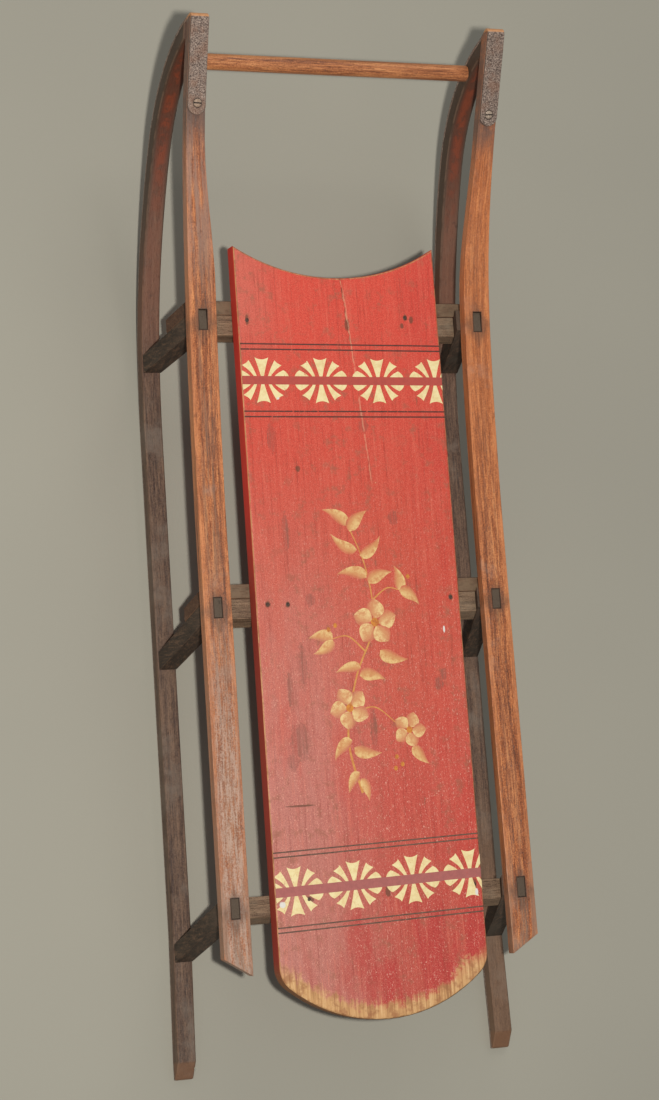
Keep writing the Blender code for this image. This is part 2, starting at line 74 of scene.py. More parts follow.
# Deck, from its CAD node
DECK_LOW, DECK_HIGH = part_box("deck_board")
DECK_TOP = DECK_HIGH.z
DECK_REAR = DECK_LOW.y
DECK_REAR_RADIUS = 0.170
DECK_HALF_REAR = DECK_HIGH.x
DECK_HALF_FRONT = 0.11675
DECK_TAPER_FROM = -0.44
DECK_TAPER_TO = DECK_HIGH.y
DECK_STEP_ACROSS = 0.006
RIM_WIDTH = 0.012

# Tenons of the legs in the rails' tops: place along the sled, half the size, and the gap at their edge
BENCH_TENON_Y = {"rear": -0.3725, "middle": -0.0610, "front": 0.2425}
TENON_HALF_LENGTH = 0.0114
TENON_HALF_WIDTH = 0.0054
TENON_GAP = 0.0004
DRIP_BACK = 0.004

# Sawn ends of the rails and runners, as spans along the sled
RAIL_SAWN_SPAN = (-0.400, -0.415)
RUNNER_SAWN_SPAN = (-0.529, -0.533)

# Iron straps with their screws, and the deck's nails
STRAP_MIDDLE_X = 0.1683
NOSE_Y = 0.5452
SCREW_Y = 0.4614
SCREW_RADIUS = 0.0044
STRAP_END_RADIUS = 0.0106
SCREW_DOME = 0.0013
SCREW_SLOT = 0.0014
SCREW_TURN = 0.05
NAIL_RADIUS = 0.0022
NAIL_DOME = 0.0004
HEAD_PROFILE = ((1.0, -0.15), (1.0, 0.18), (0.93, 0.45), (0.72, 0.78), (0.40, 0.95))
SLOT_MIDDLE = 0.82
RAY_HEIGHT = 1.0

# Marks on the deck: x, y, half width and half length; a nail lies in each of the first
NAIL_STAINS = (
    (-0.1062, 0.2444, 0.0022, 0.0055), (0.0778, 0.2482, 0.0028, 0.0036), (-0.1048, -0.0594, 0.0032, 0.0035),
    (-0.0821, -0.0601, 0.0030, 0.0034), (0.1069, -0.0577, 0.0026, 0.0040), (0.1090, -0.3659, 0.0034, 0.0062),
    (-0.0814, -0.3688, 0.0058, 0.0034),
)
OTHER_STAINS = (
    (0.0087, 0.2400, 0.0030, 0.0075), (0.0848, 0.2460, 0.0026, 0.0042), (0.0735, 0.2393, 0.0022, 0.0030),
    (0.0086, -0.3663, 0.0032, 0.0066), (-0.0836, -0.2716, 0.0165, 0.0012), (-0.0600, 0.0840, 0.0030, 0.0036),
)
FAINT_STAINS = (
    (0.0180, 0.1420, 0.0040, 0.0050), (-0.0860, -0.1500, 0.0034, 0.0210), (-0.0880, -0.2250, 0.0070, 0.0100),
    (0.0920, -0.1400, 0.0040, 0.0070), (-0.0790, 0.0160, 0.0040, 0.0220), (-0.0880, 0.1180, 0.0050, 0.0160),
    (0.0190, 0.1300, 0.0060, 0.0080), (0.0460, 0.0300, 0.0060, 0.0090), (-0.0700, -0.1250, 0.0050, 0.0240),
    (-0.0780, -0.2050, 0.0120, 0.0200), (0.0060, -0.1950, 0.0040, 0.0240), (0.0860, -0.1500, 0.0060, 0.0080),
    (-0.0560, -0.0560, 0.0060, 0.0070),
)
CHIPS = (
    (-0.1111, -0.3724, 0.0036, 0.0034), (0.0963, -0.0921, 0.0013, 0.0040), (-0.0770, 0.1600, 0.0016, 0.0012),
    (0.1114, -0.3742, 0.0020, 0.0040),
)
BARE_PATCH = (0.098, -0.468, 0.022, 0.026)
BARE_TAIL_SPAN = (-0.425, -0.455)
CRACK_START = (0.0043, 0.2892)
CRACK_END = (0.0124, 0.2125)
SCRATCH_END = (0.0250, 0.0600)

# Tones as they come out in the picture, from 0 to 255
CHIP_TONE = (224, 220, 212)
# Painted shadow: the dark line round each strap's end on the rail, and round each screw on the strap.
RING_SHADOW_TONE = (52, 42, 36)
RED_STOPS = (
    (0.02, (186, 80, 68)), (0.20, (196, 80, 68)), (0.40, (200, 88, 71)),
    (0.62, (202, 84, 65)), (0.86, (210, 76, 60)), (1.0, (218, 76, 60)),
)
PINE_STOPS = ((0.3, (150, 104, 66)), (0.5, (206, 158, 106)), (0.70, (232, 193, 142)))

# Paint films lie on the deck: thickness, how far they sink in, and the step from one stroke to the next
FILM = 0.00008
FILM_SINK = 0.00002
STROKE_STEP = 0.000004
FILM_TRIM = 0.0012

# Worn copies of the CAD nodes
MERGE_DISTANCE = 1e-5
FLAT_ANGLE = math.radians(0.6)
SHARP_ANGLE = math.radians(25)
CHAMFER_EDGE = 0.0019
CHAMFER_WIDTH = 0.0022
SAMPLE_STEP = 0.003


def display(red, green, blue):
    """Surface colour that comes out as this 8-bit display colour under the scene's light."""
    channels = []
    for value in (red, green, blue):
        share = value / 255
        linear = share / 12.92 if share <= 0.04045 else ((share + 0.055) / 1.055) ** 2.4
        channels.append(min(linear / LIGHT_LEVEL, 0.95))
    return tuple(channels)


def shaded(colour, factor):
    return tuple(min(factor * channel, 0.9) for channel in colour)


def new_object(name, data):
    thing = bpy.data.objects.new(name, data)
    bpy.context.scene.collection.objects.link(thing)
    return thing


def made_mesh(name, shape):
    """Mesh from a shape under construction, which is then freed."""
    mesh = bpy.data.meshes.new(name)
    shape.to_mesh(mesh)
    shape.free()
    return mesh


# Node trees


class Recipe:
    """A material's node tree, with short calls for the nodes that the finishes use."""

    def __init__(self, name):
        self.material = bpy.data.materials.new(name)
        self.material.use_nodes = True
        self.tree = self.material.node_tree
        self.shader = self.tree.nodes["Principled BSDF"]

    def feed(self, socket, value):
        if isinstance(value, bpy.types.NodeSocket):
            self.tree.links.new(value, socket)
        elif socket.type == "RGBA" and len(value) == 3:
            socket.default_value = (*value, 1)
        else:
            socket.default_value = value

    def add(self, kind, inputs, **settings):
        node = self.tree.nodes.new("ShaderNode" + kind)
        for key, value in settings.items():
            setattr(node, key, value)
        for key, value in inputs.items():
            self.feed(node.inputs[key], value)
        return node

    def place(self):
        return self.add("TexCoord", {}).outputs["Object"]

    def parts(self, vector):
        return self.add("SeparateXYZ", {0: vector}).outputs

    def attribute(self, name, kind="Vector"):
        return self.add("Attribute", {}, attribute_name=name).outputs[kind]

    def stretched(self, vector, factors):
        return self.add("VectorMath", {0: vector, 1: factors}, operation="MULTIPLY").outputs[0]

    def moved(self, vector, step):
        return self.add("VectorMath", {0: vector, 1: step}, operation="ADD").outputs[0]

    def noise(self, vector, scale, detail=3.0, roughness=0.55, distortion=0.0):
        inputs = {"Vector": vector, "Scale": scale, "Detail": detail,
                  "Roughness": roughness, "Distortion": distortion}
        return self.add("TexNoise", inputs).outputs[0]

    def span(self, value, low, high, to_low=0.0, to_high=1.0):
        inputs = {0: value, 1: low, 2: high, 3: to_low, 4: to_high}
        return self.add("MapRange", inputs, interpolation_type="SMOOTHSTEP").outputs[0]

    def streaks(self, vector, drawn_out, scale, detail, roughness, distortion=0.0):
        """Noise drawn out along the grain."""
        return self.noise(self.stretched(vector, (1, drawn_out, 1)), scale, detail, roughness, distortion)

    def math(self, operation, first, second=0.0):
        return self.add("Math", {0: first, 1: second}, operation=operation).outputs[0]

    def folded(self, operation, values):
        total = values[0]
        for value in values[1:]:
            total = self.math(operation, total, value)
        return total

    def times(self, *values):
        return self.folded("MULTIPLY", values)

    def plus(self, *values):
        return self.folded("ADD", values)

    def most(self, *values):
        return self.folded("MAXIMUM", values)

    def size(self, value):
        return self.math("ABSOLUTE", value)

    def weighted(self, *pairs):
        """Sum of values, each times its weight."""
        return self.plus(*[self.times(value, weight) for value, weight in pairs])

    def wobble(self, value, amount):
        """A noise made to swing about nought."""
        return self.times(self.plus(value, -0.5), amount)

    def mix(self, share, first, second):
        node = self.add("Mix", {}, data_type="RGBA", blend_type="MIX")
        self.feed(node.inputs[0], share)
        self.feed(node.inputs[6], first)
        self.feed(node.inputs[7], second)
        return node.outputs[2]

    def tint(self, colour, tone, *masks):
        """The colour taken towards a tone, as far as the masks and shares say together."""
        return self.mix(self.times(*masks), colour, display(*tone))

    def ramp(self, value, stops):
        node = self.add("ValToRGB", {0: value})
        elements = node.color_ramp.elements
        while len(elements) < len(stops):
            elements.new(0.5)
        for element, (position, tone) in zip(elements, stops):
            element.position = position
            element.color = (*display(*tone), 1)
        return node.outputs[0]

    def reach(self, position, x, y, half_width=1.0, half_length=1.0):
        """Distance in plan from a point, in half widths and half lengths."""
        offset = self.moved(position, (-x, -y, 0))
        scaled = self.stretched(offset, (1 / half_width, 1 / half_length, 0))
        return self.add("VectorMath", {0: scaled}, operation="LENGTH").outputs["Value"]

    def spot(self, position, x, y, half_width, half_length, ragged=0.35):
        """Mask of a soft-edged blot on a level face, with its edge made uneven."""
        uneven = self.wobble(self.noise(position, 260, 3), 2 * ragged)
        return self.span(self.plus(self.reach(position, x, y, half_width, half_length), uneven), 1.15, 0.7)

    def spots(self, position, marks, ragged=0.35):
        return self.most(*[self.spot(position, *mark, ragged) for mark in marks])

    def upward(self, low=0.35, high=0.75):
        """Mask of the faces that look up."""
        upright = self.parts(self.add("NewGeometry", {}).outputs["Normal"])[2]
        return self.span(upright, low, high)

    def edge(self):
        return self.attribute("edge", "Fac")

    def screw_reach(self, position):
        """How far, in plan, a place lies from the nearer strap's screw."""
        x, y, _ = self.parts(position)
        across = self.plus(self.size(x), -STRAP_MIDDLE_X)
        along = self.plus(y, -SCREW_Y)
        squares = self.plus(self.times(across, across), self.times(along, along))
        return self.math("SQRT", squares)

    def finish(self, colour, roughness, height, distance, specular=0.5, metallic=0.0):
        self.feed(self.shader.inputs["Base Color"], colour)
        self.feed(self.shader.inputs["Roughness"], roughness)
        self.feed(self.shader.inputs["Metallic"], metallic)
        self.feed(self.shader.inputs["Specular IOR Level"], specular)
        bump = self.add("Bump", {"Strength": 1.0, "Distance": distance, "Height": height})
        self.feed(self.shader.inputs["Normal"], bump.outputs[0])
        return self.material


def wood_finish(name, dark, middle, light, weathered, weather_span, shine, marks=None, rubbed=0.6):
    """Old wood with grain along the piece, pores, weathered patches and rubbed edges."""
    tree = Recipe(name)
    grain = tree.attribute("grain")
    place = tree.place()
    growth = tree.streaks(grain, 0.040, 210, 5, 0.66, 0.7)
    fibre = tree.streaks(grain, 0.07, 520, 5, 0.74)
    pores = tree.span(tree.streaks(grain, 0.10, 1300, 2, 0.5), 0.58, 0.70)
    grit = tree.noise(place, 900, 2, 0.6)
    patch = tree.noise(place, 13, 4, 0.6)
    small = tree.noise(place, 60, 4, 0.65)
    blot = tree.span(tree.noise(place, 34, 5, 0.7), 0.62, 0.74)
    weather = tree.span(tree.weighted((patch, 0.7), (small, 0.3)), *weather_span)
    tone = tree.weighted((growth, 0.38), (fibre, 0.36), (grit, 0.26))
    colour = tree.ramp(tone, [(0.415, dark), (0.5, middle), (0.585, light)])
    colour = tree.mix(tree.times(pores, 0.5), colour, shaded(display(*dark), 0.5))
    colour = tree.tint(colour, weathered, weather, 0.75)
    if marks:
        colour = marks(tree, grain, place, colour, small)
    colour = tree.mix(tree.times(blot, 0.55), colour, shaded(display(*dark), 0.4))
    edge = tree.times(tree.edge(), tree.span(small, 0.38, 0.56), rubbed)
    colour = tree.mix(edge, colour, shaded(display(*light), 1.25))
    roughness = tree.plus(tree.times(weather, 0.22), tree.span(fibre, 0.3, 0.7, shine - 0.08, shine + 0.1))
    height = tree.weighted((growth, 0.5), (fibre, 0.5), (pores, -0.6))
    return tree.finish(colour, roughness, height, 0.00035, 0.45)


def rail_marks_and_light(tree, grain, place, colour, small):
    """Orange edges, partly rubbed and partly painted highlight, a greyer middle, a painted reflection on the
    left rail, iron stain below the straps, a painted shadow round each strap's end and drips round the
    tenons.
    """
    x, along, _ = tree.parts(place)
    off = tree.size(tree.parts(grain)[0])
    streak = tree.streaks(grain, 0.05, 170, 4, 0.65)
    to_left = tree.span(x, 0.05, -0.05)
    low_left = tree.times(to_left, tree.span(along, 0.02, -0.28))
    colour = tree.tint(colour, (128, 98, 80), tree.span(off, 0.0125, 0.0050),
                       tree.span(streak, 0.40, 0.62), tree.span(x, 0.05, -0.05, 0.25, 0.66))
    # Orange along the top's edges: partly rubbed wear, partly painted highlight on the rounded edges.
    colour = tree.tint(colour, (206, 134, 88), tree.span(off, 0.0085, 0.0135),
                       tree.span(streak, 0.34, 0.56), tree.span(low_left, 0.0, 1.0, 0.55, 0.48))
    colour = tree.tint(colour, (206, 122, 70), tree.span(x, 0.05, 0.10), tree.span(along, -0.02, 0.20), 0.32)
    # Painted reflection: pale grey glints along the grain on the lower left rail, over a browner tone.
    colour = painted_reflection(tree, grain, place, colour, off, low_left)
    colour = tree.tint(colour, (138, 118, 102), tree.span(along, -0.28, -0.42),
                       tree.span(streak, 0.38, 0.58), 0.6)
    # Paler, pinker tone on the upper left rail: partly weathering, partly painted reflection.
    colour = tree.tint(colour, (166, 132, 116), to_left, tree.span(along, 0.24, 0.36),
                       tree.span(streak, 0.34, 0.58), 0.55)
    colour = tree.tint(colour, (216, 150, 98), tree.edge(), tree.span(along, *RAIL_SAWN_SPAN), 0.7)
    # Painted shadow: a thin dark line on the rail round the rounded end of each strap.
    ring = tree.span(tree.screw_reach(place), STRAP_END_RADIUS + 0.0010, STRAP_END_RADIUS)
    colour = tree.tint(colour, RING_SHADOW_TONE, ring, tree.upward(), 0.85)
    colour = tree.tint(colour, (98, 82, 74), tree.span(along, 0.405, 0.452),
                       tree.span(small, 0.30, 0.55, 0.5, 1.0), 0.8)
    for name in BENCHES:
        colour = tenon_marks(tree, along, off, small, colour, BENCH_TENON_Y[name])
    return colour


def painted_reflection(tree, grain, place, colour, off, where):
    """Painted reflection: a browner tone with pale glints along the grain, fewer at the rail's edges."""
    colour = tree.tint(colour, (160, 108, 80), where, 0.5)
    fine = tree.streaks(grain, 0.08, 420, 4, 0.7)
    glint = tree.noise(place, 700, 3, 0.65)
    pale = tree.span(tree.weighted((fine, 0.6), (glint, 0.4)), 0.43, 0.57)
    inner = tree.span(off, 0.0135, 0.0100, 0.35, 1.0)
    return tree.tint(colour, (196, 168, 150), where, pale, inner, 0.75)


def tenon_marks(tree, along, off, small, colour, tenon_y):
    """A dark drip round a leg's tenon, and the darker gap at its edge."""
    behind = tree.size(tree.plus(along, DRIP_BACK - tenon_y))
    drip = tree.span(tree.weighted((behind, 0.55), (off, 0.8), (small, 0.010)), 0.0225, 0.0125)
    colour = tree.tint(colour, (90, 68, 54), drip, 0.55)
    beside = tree.size(tree.plus(along, -tenon_y))
    across = tree.span(off, TENON_HALF_WIDTH + TENON_GAP, TENON_HALF_WIDTH - TENON_GAP)
    length = tree.span(beside, TENON_HALF_LENGTH + TENON_GAP, TENON_HALF_LENGTH - TENON_GAP)
    return tree.tint(colour, (50, 40, 32), across, length, 0.85)


def runner_marks(tree, grain, place, colour, small):
    """Warmer wood in the bend, dark red-brown towards the tip, and a lighter sawn tail."""
    across, along, _ = tree.parts(place)
    bend = tree.times(tree.span(along, 0.16, 0.32), tree.span(small, 0.25, 0.55, 0.6, 1.0))
    colour = tree.tint(colour, (120, 76, 56), bend, 0.75)
    tip = tree.times(tree.span(along, 0.34, 0.46), tree.span(small, 0.20, 0.55, 0.7, 1.0))
    colour = tree.tint(colour, (88, 48, 32), tip, 0.9)
    off = tree.size(tree.parts(grain)[0])
    warm = tree.times(tree.span(off, 0.0075, 0.0020), tree.span(small, 0.42, 0.58))
    colour = tree.tint(colour, (134, 62, 34), warm, tip, 0.7)
    dim = tree.times(tree.span(off, 0.0055, 0.0100), tree.span(along, 0.26, 0.40))
    colour = tree.tint(colour, (70, 60, 48), dim, 0.75)
    right = tree.times(tree.span(across, 0.05, 0.10), tree.span(along, -0.24, -0.38))
    colour = tree.tint(colour, (136, 104, 78), right, 0.45)
    tail = tree.times(tree.span(along, *RUNNER_SAWN_SPAN), 0.6)
    return tree.tint(colour, (134, 94, 66), tail)


def leg_light_and_end_grain(tree, grain, place, colour, small):
    """Less painted shade towards the top, under the rail, and the sawn end that shows in the rail's top."""
    height = tree.parts(place)[2]
    # Painted light: the leg's upper part lighter, with less of the painted shade.
    upper = tree.times(tree.span(height, 0.085, 0.118), tree.span(small, 0.30, 0.60, 0.3, 1.0))
    colour = tree.tint(colour, (98, 78, 64), upper, 0.7)
    end = tree.times(tree.span(height, 0.130, 0.133), tree.span(small, 0.30, 0.60, 0.6, 1.0))
    return tree.tint(colour, (86, 72, 58), end)


def brace_painted_light(tree, grain, place, colour, small):
    """Painted light: the upward faces of a brace, lighter than the painted shade of its wood."""
    top = tree.times(tree.upward(0.6, 0.85), tree.span(small, 0.30, 0.58, 0.5, 1.0))
    return tree.tint(colour, (124, 103, 80), top, 0.85)


WOODS = {
    "rail_wood": ((98, 54, 36), (170, 98, 58), (218, 144, 90), (168, 132, 112), (0.53, 0.68), 0.42,
                  rail_marks_and_light),
    "runner_wood": ((66, 48, 40), (98, 75, 60), (126, 99, 79), (120, 106, 94), (0.50, 0.66), 0.55,
                    runner_marks, 0.28),
    "bench_wood": ((80, 60, 45), (121, 97, 75), (150, 124, 98), (134, 118, 98), (0.50, 0.66), 0.6),
    # Brace wood: a darker copy of the bench wood, painted shade on the braces' faces, with painted light on
    # their tops.
    "brace_wood_painted_shade": ((66, 42, 30), (84, 56, 40), (112, 82, 60), (98, 76, 58), (0.54, 0.70), 0.6, brace_painted_light),
    # Leg wood: a darker copy of the bench wood, painted shade for the legs under the deck and rails.
    "leg_wood_painted_shade": ((44, 35, 28), (66, 53, 42), (104, 80, 62), (80, 70, 58), (0.52, 0.68), 0.65, leg_light_and_end_grain),
    "dowel_wood": ((118, 70, 46), (178, 111, 69), (212, 146, 94), (140, 108, 90), (0.56, 0.70), 0.45),
}


# Paint


def red_tones(tree, x, y, broad):
    """The red from tail to front: faded on the left, deeper on the right and behind the rear band."""
    colour = tree.ramp(tree.span(y, -0.5, 0.32), RED_STOPS)
    colour = tree.tint(colour, (190, 138, 126), tree.span(x, 0.04, -0.09), tree.span(y, 0.12, -0.22),
                       tree.span(broad, 0.30, 0.60, 0.35, 1.0), 0.68)
    colour = tree.tint(colour, (196, 134, 116), tree.span(x, -0.05, -0.11), tree.span(y, 0.18, 0.26), 0.35)
    colour = tree.tint(colour, (200, 62, 52), tree.span(x, 0.05, 0.10), tree.span(broad, 0.62, 0.42), 0.5)
    return tree.tint(colour, (182, 56, 54), tree.span(x, -0.07, 0.00), tree.span(y, -0.36, -0.40),
                     tree.span(broad, 0.56, 0.44), 0.75)


def red_texture(tree, place, y, streak, broad, small, colour):
    """Brush streaks, grit, dust, pale specks, worn runs and flecks in the red."""
    grit = tree.noise(place, 1000, 2, 0.6)
    speck = tree.streaks(place, 0.40, 1050, 3, 0.6)
    run = tree.streaks(place, 0.16, 150, 4, 0.7)
    fleck = tree.streaks(place, 0.5, 330, 4, 0.7)
    colour = tree.tint(colour, (226, 124, 100), tree.span(streak, 0.50, 0.72, 0.0, 0.36))
    colour = tree.tint(colour, (140, 58, 46), tree.span(streak, 0.48, 0.28, 0.0, 0.50))
    colour = tree.tint(colour, (230, 142, 120), tree.span(grit, 0.52, 0.70, 0.0, 0.40))
    colour = tree.tint(colour, (142, 48, 42), tree.span(grit, 0.48, 0.32, 0.0, 0.40))
    colour = tree.tint(colour, (152, 98, 76), tree.span(small, 0.50, 0.68),
                       tree.span(broad, 0.40, 0.60, 0.15, 0.60))
    colour = tree.tint(colour, (224, 158, 140), tree.span(speck, 0.60, 0.68),
                       tree.span(y, 0.22, -0.26, 0.12, 1.0))
    colour = tree.tint(colour, (126, 88, 66), tree.span(run, 0.66, 0.73),
                       tree.span(broad, 0.42, 0.58, 0.3, 1.0), 0.75)
    return tree.tint(colour, (226, 178, 138), tree.span(fleck, 0.70, 0.74), 0.9)


def bare_mask(tree, place, y, streak, small):
    """Mask of bare wood: the round tail, a patch beside it, the rim and the rubbed edges."""
    uneven = tree.plus(tree.wobble(small, 0.034), tree.wobble(streak, 0.022))
    reach = tree.plus(tree.reach(place, 0, DECK_REAR + DECK_REAR_RADIUS), uneven)
    tail = tree.times(tree.span(reach, DECK_REAR_RADIUS - 0.021, DECK_REAR_RADIUS - 0.010),
                      tree.span(y, *BARE_TAIL_SPAN))
    patch = tree.times(tree.spot(place, *BARE_PATCH, 0.6), 0.85)
    ragged = tree.wobble(tree.noise(place, 210, 4, 0.7), 0.5)
    rim = tree.span(tree.plus(tree.attribute("rim", "Fac"), ragged), 0.88, 0.97)
    rubbed = tree.times(tree.edge(), tree.span(small, 0.36, 0.50))
    return tree.most(tail, patch, tree.times(rim, 0.85), rubbed)


def off_line(tree, x, y, small, start, end, amount):
    """How far across the deck a place lies from a wavering line between two points."""
    slope = (end[0] - start[0]) / (end[1] - start[1])
    line = tree.plus(tree.times(tree.plus(y, -start[1]), slope), start[0])
    return tree.size(tree.math("SUBTRACT", tree.plus(x, tree.wobble(small, amount)), line))


def crack_mask(tree, x, y, small):
    """Split that runs back from the hollow front edge past a knot."""
    off = off_line(tree, x, y, small, CRACK_START, CRACK_END, 0.004)
    return tree.times(tree.span(off, 0.0007, 0.0002), tree.span(small, 0.36, 0.56, 0.25, 1.0),
                      tree.span(y, CRACK_END[1], CRACK_END[1] + 0.01))


def scratch_mask(tree, x, y, small):
    """Pale scratch that carries on from the split."""
    off = off_line(tree, x, y, small, CRACK_END, SCRATCH_END, 0.005)
    run = tree.times(tree.span(y, SCRATCH_END[1], SCRATCH_END[1] + 0.02),
                     tree.span(y, CRACK_START[1], CRACK_START[1] - 0.02))
    return tree.times(tree.span(off, 0.0011, 0.0004), run, tree.span(small, 0.35, 0.5))


def side_tone(tree, y, small):
    """Paint on the board's edges, darker towards the tail and gone round it."""
    front = tree.span(tree.plus(y, tree.times(small, 0.15)), -0.02, 0.16)
    side = tree.mix(front, display(168, 62, 48), display(214, 60, 48))
    return tree.tint(side, (140, 94, 60), tree.span(y, *BARE_TAIL_SPAN))


def red_paint(tree):
    """Old red oil paint over pine, with the masks of bare wood and of chips through all paint."""
    place = tree.place()
    x, y, _ = tree.parts(place)
    streak = tree.streaks(place, 0.035, 430, 5, 0.68)
    broad = tree.streaks(place, 0.25, 26, 4, 0.6)
    small = tree.noise(place, 75, 5, 0.68)
    bare = bare_mask(tree, place, y, streak, small)
    chipped = tree.spots(place, CHIPS)
    split = crack_mask(tree, x, y, small)
    colour = red_tones(tree, x, y, broad)
    colour = red_texture(tree, place, y, streak, broad, small, colour)
    colour = tree.tint(colour, (100, 70, 52), tree.spots(place, NAIL_STAINS + OTHER_STAINS), 0.75)
    colour = tree.tint(colour, (126, 84, 72), tree.spots(place, FAINT_STAINS, 0.6),
                       tree.span(streak, 0.40, 0.60, 0.15, 0.60))
    colour = tree.tint(colour, CHIP_TONE, chipped)
    wood = tree.ramp(streak, PINE_STOPS)
    wood = tree.tint(wood, (156, 100, 66), tree.span(small, 0.46, 0.64, 0.0, 0.66))
    colour = tree.mix(bare, colour, wood)
    beside = tree.span(tree.noise(place, 130, 3, 0.6), 0.44, 0.60)
    split_colour = tree.mix(beside, display(112, 72, 50), display(226, 168, 130))
    colour = tree.mix(tree.times(split, 0.8), colour, split_colour)
    colour = tree.tint(colour, (226, 160, 128), scratch_mask(tree, x, y, small), 0.5)
    colour = tree.mix(tree.upward(), side_tone(tree, y, small), colour)
    roughness = tree.plus(tree.times(bare, 0.2), tree.span(streak, 0.3, 0.7, 0.46, 0.62))
    height = tree.weighted((streak, 0.7), (small, 0.3), (bare, -0.5), (split, -2.0))
    return SimpleNamespace(colour=colour, roughness=roughness, height=height, bare=bare, chipped=chipped)


def deck_finish():
    tree = Recipe("deck_paint")
    red = red_paint(tree)
    return tree.finish(red.colour, red.roughness, red.height, 0.00030, 0.35)


def ornament_finish(name, light, shade, loss, brushed=False):
    """Thin paint over the red: worn through in flecks and where the red is gone."""
    tree = Recipe(name)
    red = red_paint(tree)
    place = tree.place()
    small = tree.noise(place, 190, 4, 0.7)
    lost = tree.span(tree.streaks(place, 0.35, 420, 4, 0.7), loss, loss + 0.05)
    colour = tree.mix(tree.span(small, 0.38, 0.66), display(*light), display(*shade))
    if brushed:
        stroke = tree.attribute("tone")
        across, along, _ = tree.parts(stroke)
        bristle = tree.noise(tree.stretched(stroke, (14, 1.2, 1)), 1.4, 3, 0.6)
        reach = tree.plus(across, tree.wobble(bristle, 0.5))
        colour = tree.tint(colour, shade, tree.span(reach, 0.15, 0.75), 0.8)
        thin = tree.times(tree.span(along, 0.65, 1.05), tree.span(bristle, 0.36, 0.60), 0.7)
        lost = tree.most(lost, thin, tree.span(reach, 0.55, 1.05, 0.0, 0.85))
    colour = tree.mix(tree.most(red.bare, tree.times(lost, 0.9)), colour, red.colour)
    colour = tree.tint(colour, CHIP_TONE, red.chipped)
    return tree.finish(colour, red.roughness, red.height, 0.00025, 0.45)


# Iron and floor


def iron_finish(name, dark, light, rust, nose_highlight=None):
    """Iron, finely pitted, with brown rust and painted glints; the last argument is the tone of a painted
    highlight on a strap's front end.
    """
    tree = Recipe(name)
    place = tree.place()
    pebble = tree.noise(place, 900, 3, 0.6, 0.5)
    broad = tree.noise(place, 60, 4, 0.65)
    pits = tree.span(tree.noise(place, 420, 4, 0.7), 0.60, 0.72)
    dark = display(*dark)
    light = display(*light)
    colour = tree.mix(tree.span(pebble, 0.41, 0.59), dark, light)
    # Painted glints: the lightest specks of the iron taken brighter still, standing for highlights.
    colour = tree.mix(tree.times(tree.span(pebble, 0.58, 0.66), 0.75), colour, shaded(light, 1.7))
    colour = tree.tint(colour, rust, tree.span(broad, 0.45, 0.66), 0.5)
    colour = tree.mix(tree.times(pits, 0.4), colour, shaded(dark, 0.5))
    rubbed = tree.times(tree.edge(), tree.span(broad, 0.35, 0.55), 0.4)
    colour = tree.mix(rubbed, colour, shaded(light, 1.4))
    if nose_highlight:
        colour = strap_painted_light(tree, place, broad, colour, nose_highlight)
    # Painted shade on the floor of each screw's slot, from the hollow mark.
    colour = tree.tint(colour, (50, 40, 34), tree.attribute("hollow", "Fac"))
    roughness = tree.span(pebble, 0.3, 0.7, 0.42, 0.62)
    height = tree.plus(pebble, tree.times(pits, -1.0))
    return tree.finish(colour, roughness, height, 0.00045, 0.5, 0.2)


def strap_painted_light(tree, place, broad, colour, nose_highlight):
    """Painted light on a strap: a painted highlight on its front end, and a painted shadow ring round its
    screw.
    """
    _, along, height = tree.parts(place)
    front = tree.span(along, NOSE_Y - 0.0006, NOSE_Y + 0.0006)
    upper = tree.span(tree.plus(height, tree.times(broad, 0.012)), 0.212, 0.224)
    # Painted highlight: the top of the strap's front end taken towards a light warm tone.
    colour = tree.tint(colour, nose_highlight, front, upper, 0.85)
    # Painted shadow: a dark ring round the screw head, where the countersink lies in shade.
    ring = tree.span(tree.screw_reach(place), SCREW_RADIUS + 0.0010, SCREW_RADIUS + 0.0004)
    return tree.tint(colour, RING_SHADOW_TONE, ring, tree.upward(), 0.85)


def floor_finish():
    tree = Recipe("floor_paper")
    place = tree.place()
    cloud = tree.noise(place, 1.3, 3, 0.5)
    tooth = tree.noise(place, 240, 3, 0.6)
    colour = tree.mix(tree.span(cloud, 0.3, 0.7), display(160, 157, 145), display(166, 163, 150))
    return tree.finish(colour, 0.92, tooth, 0.0001, 0.2)


# Worn copies of the CAD nodes


def grown_noise(point, scale, seed):
    return noise.noise(Vector((point.x * scale + seed, point.y * scale, point.z * scale)))


# Axis that a piece is cut along, length of a cut, rounding of its edges, rubbing and its fineness
WEAR = {
    "deck": (1, 0.005, 0.0004, 0.0008, 70),
    "rail": (1, 0.008, 0.0005, 0.0006, 90),
    "runner": (1, 0.008, 0.0005, 0.0006, 80),
    "bar": (0, 0.010, 0.0007, 0.0004, 90),
    "brace": (0, 0.010, 0.0009, 0.0006, 90),
    "leg": (2, 0.008, 0.0004, 0.0003, 90),
    "dowel": (0, 0.012, 0.0005, 0.0, 90),
    "shoe": (1, 0.008, 0.0006, 0.0004, 160),
}


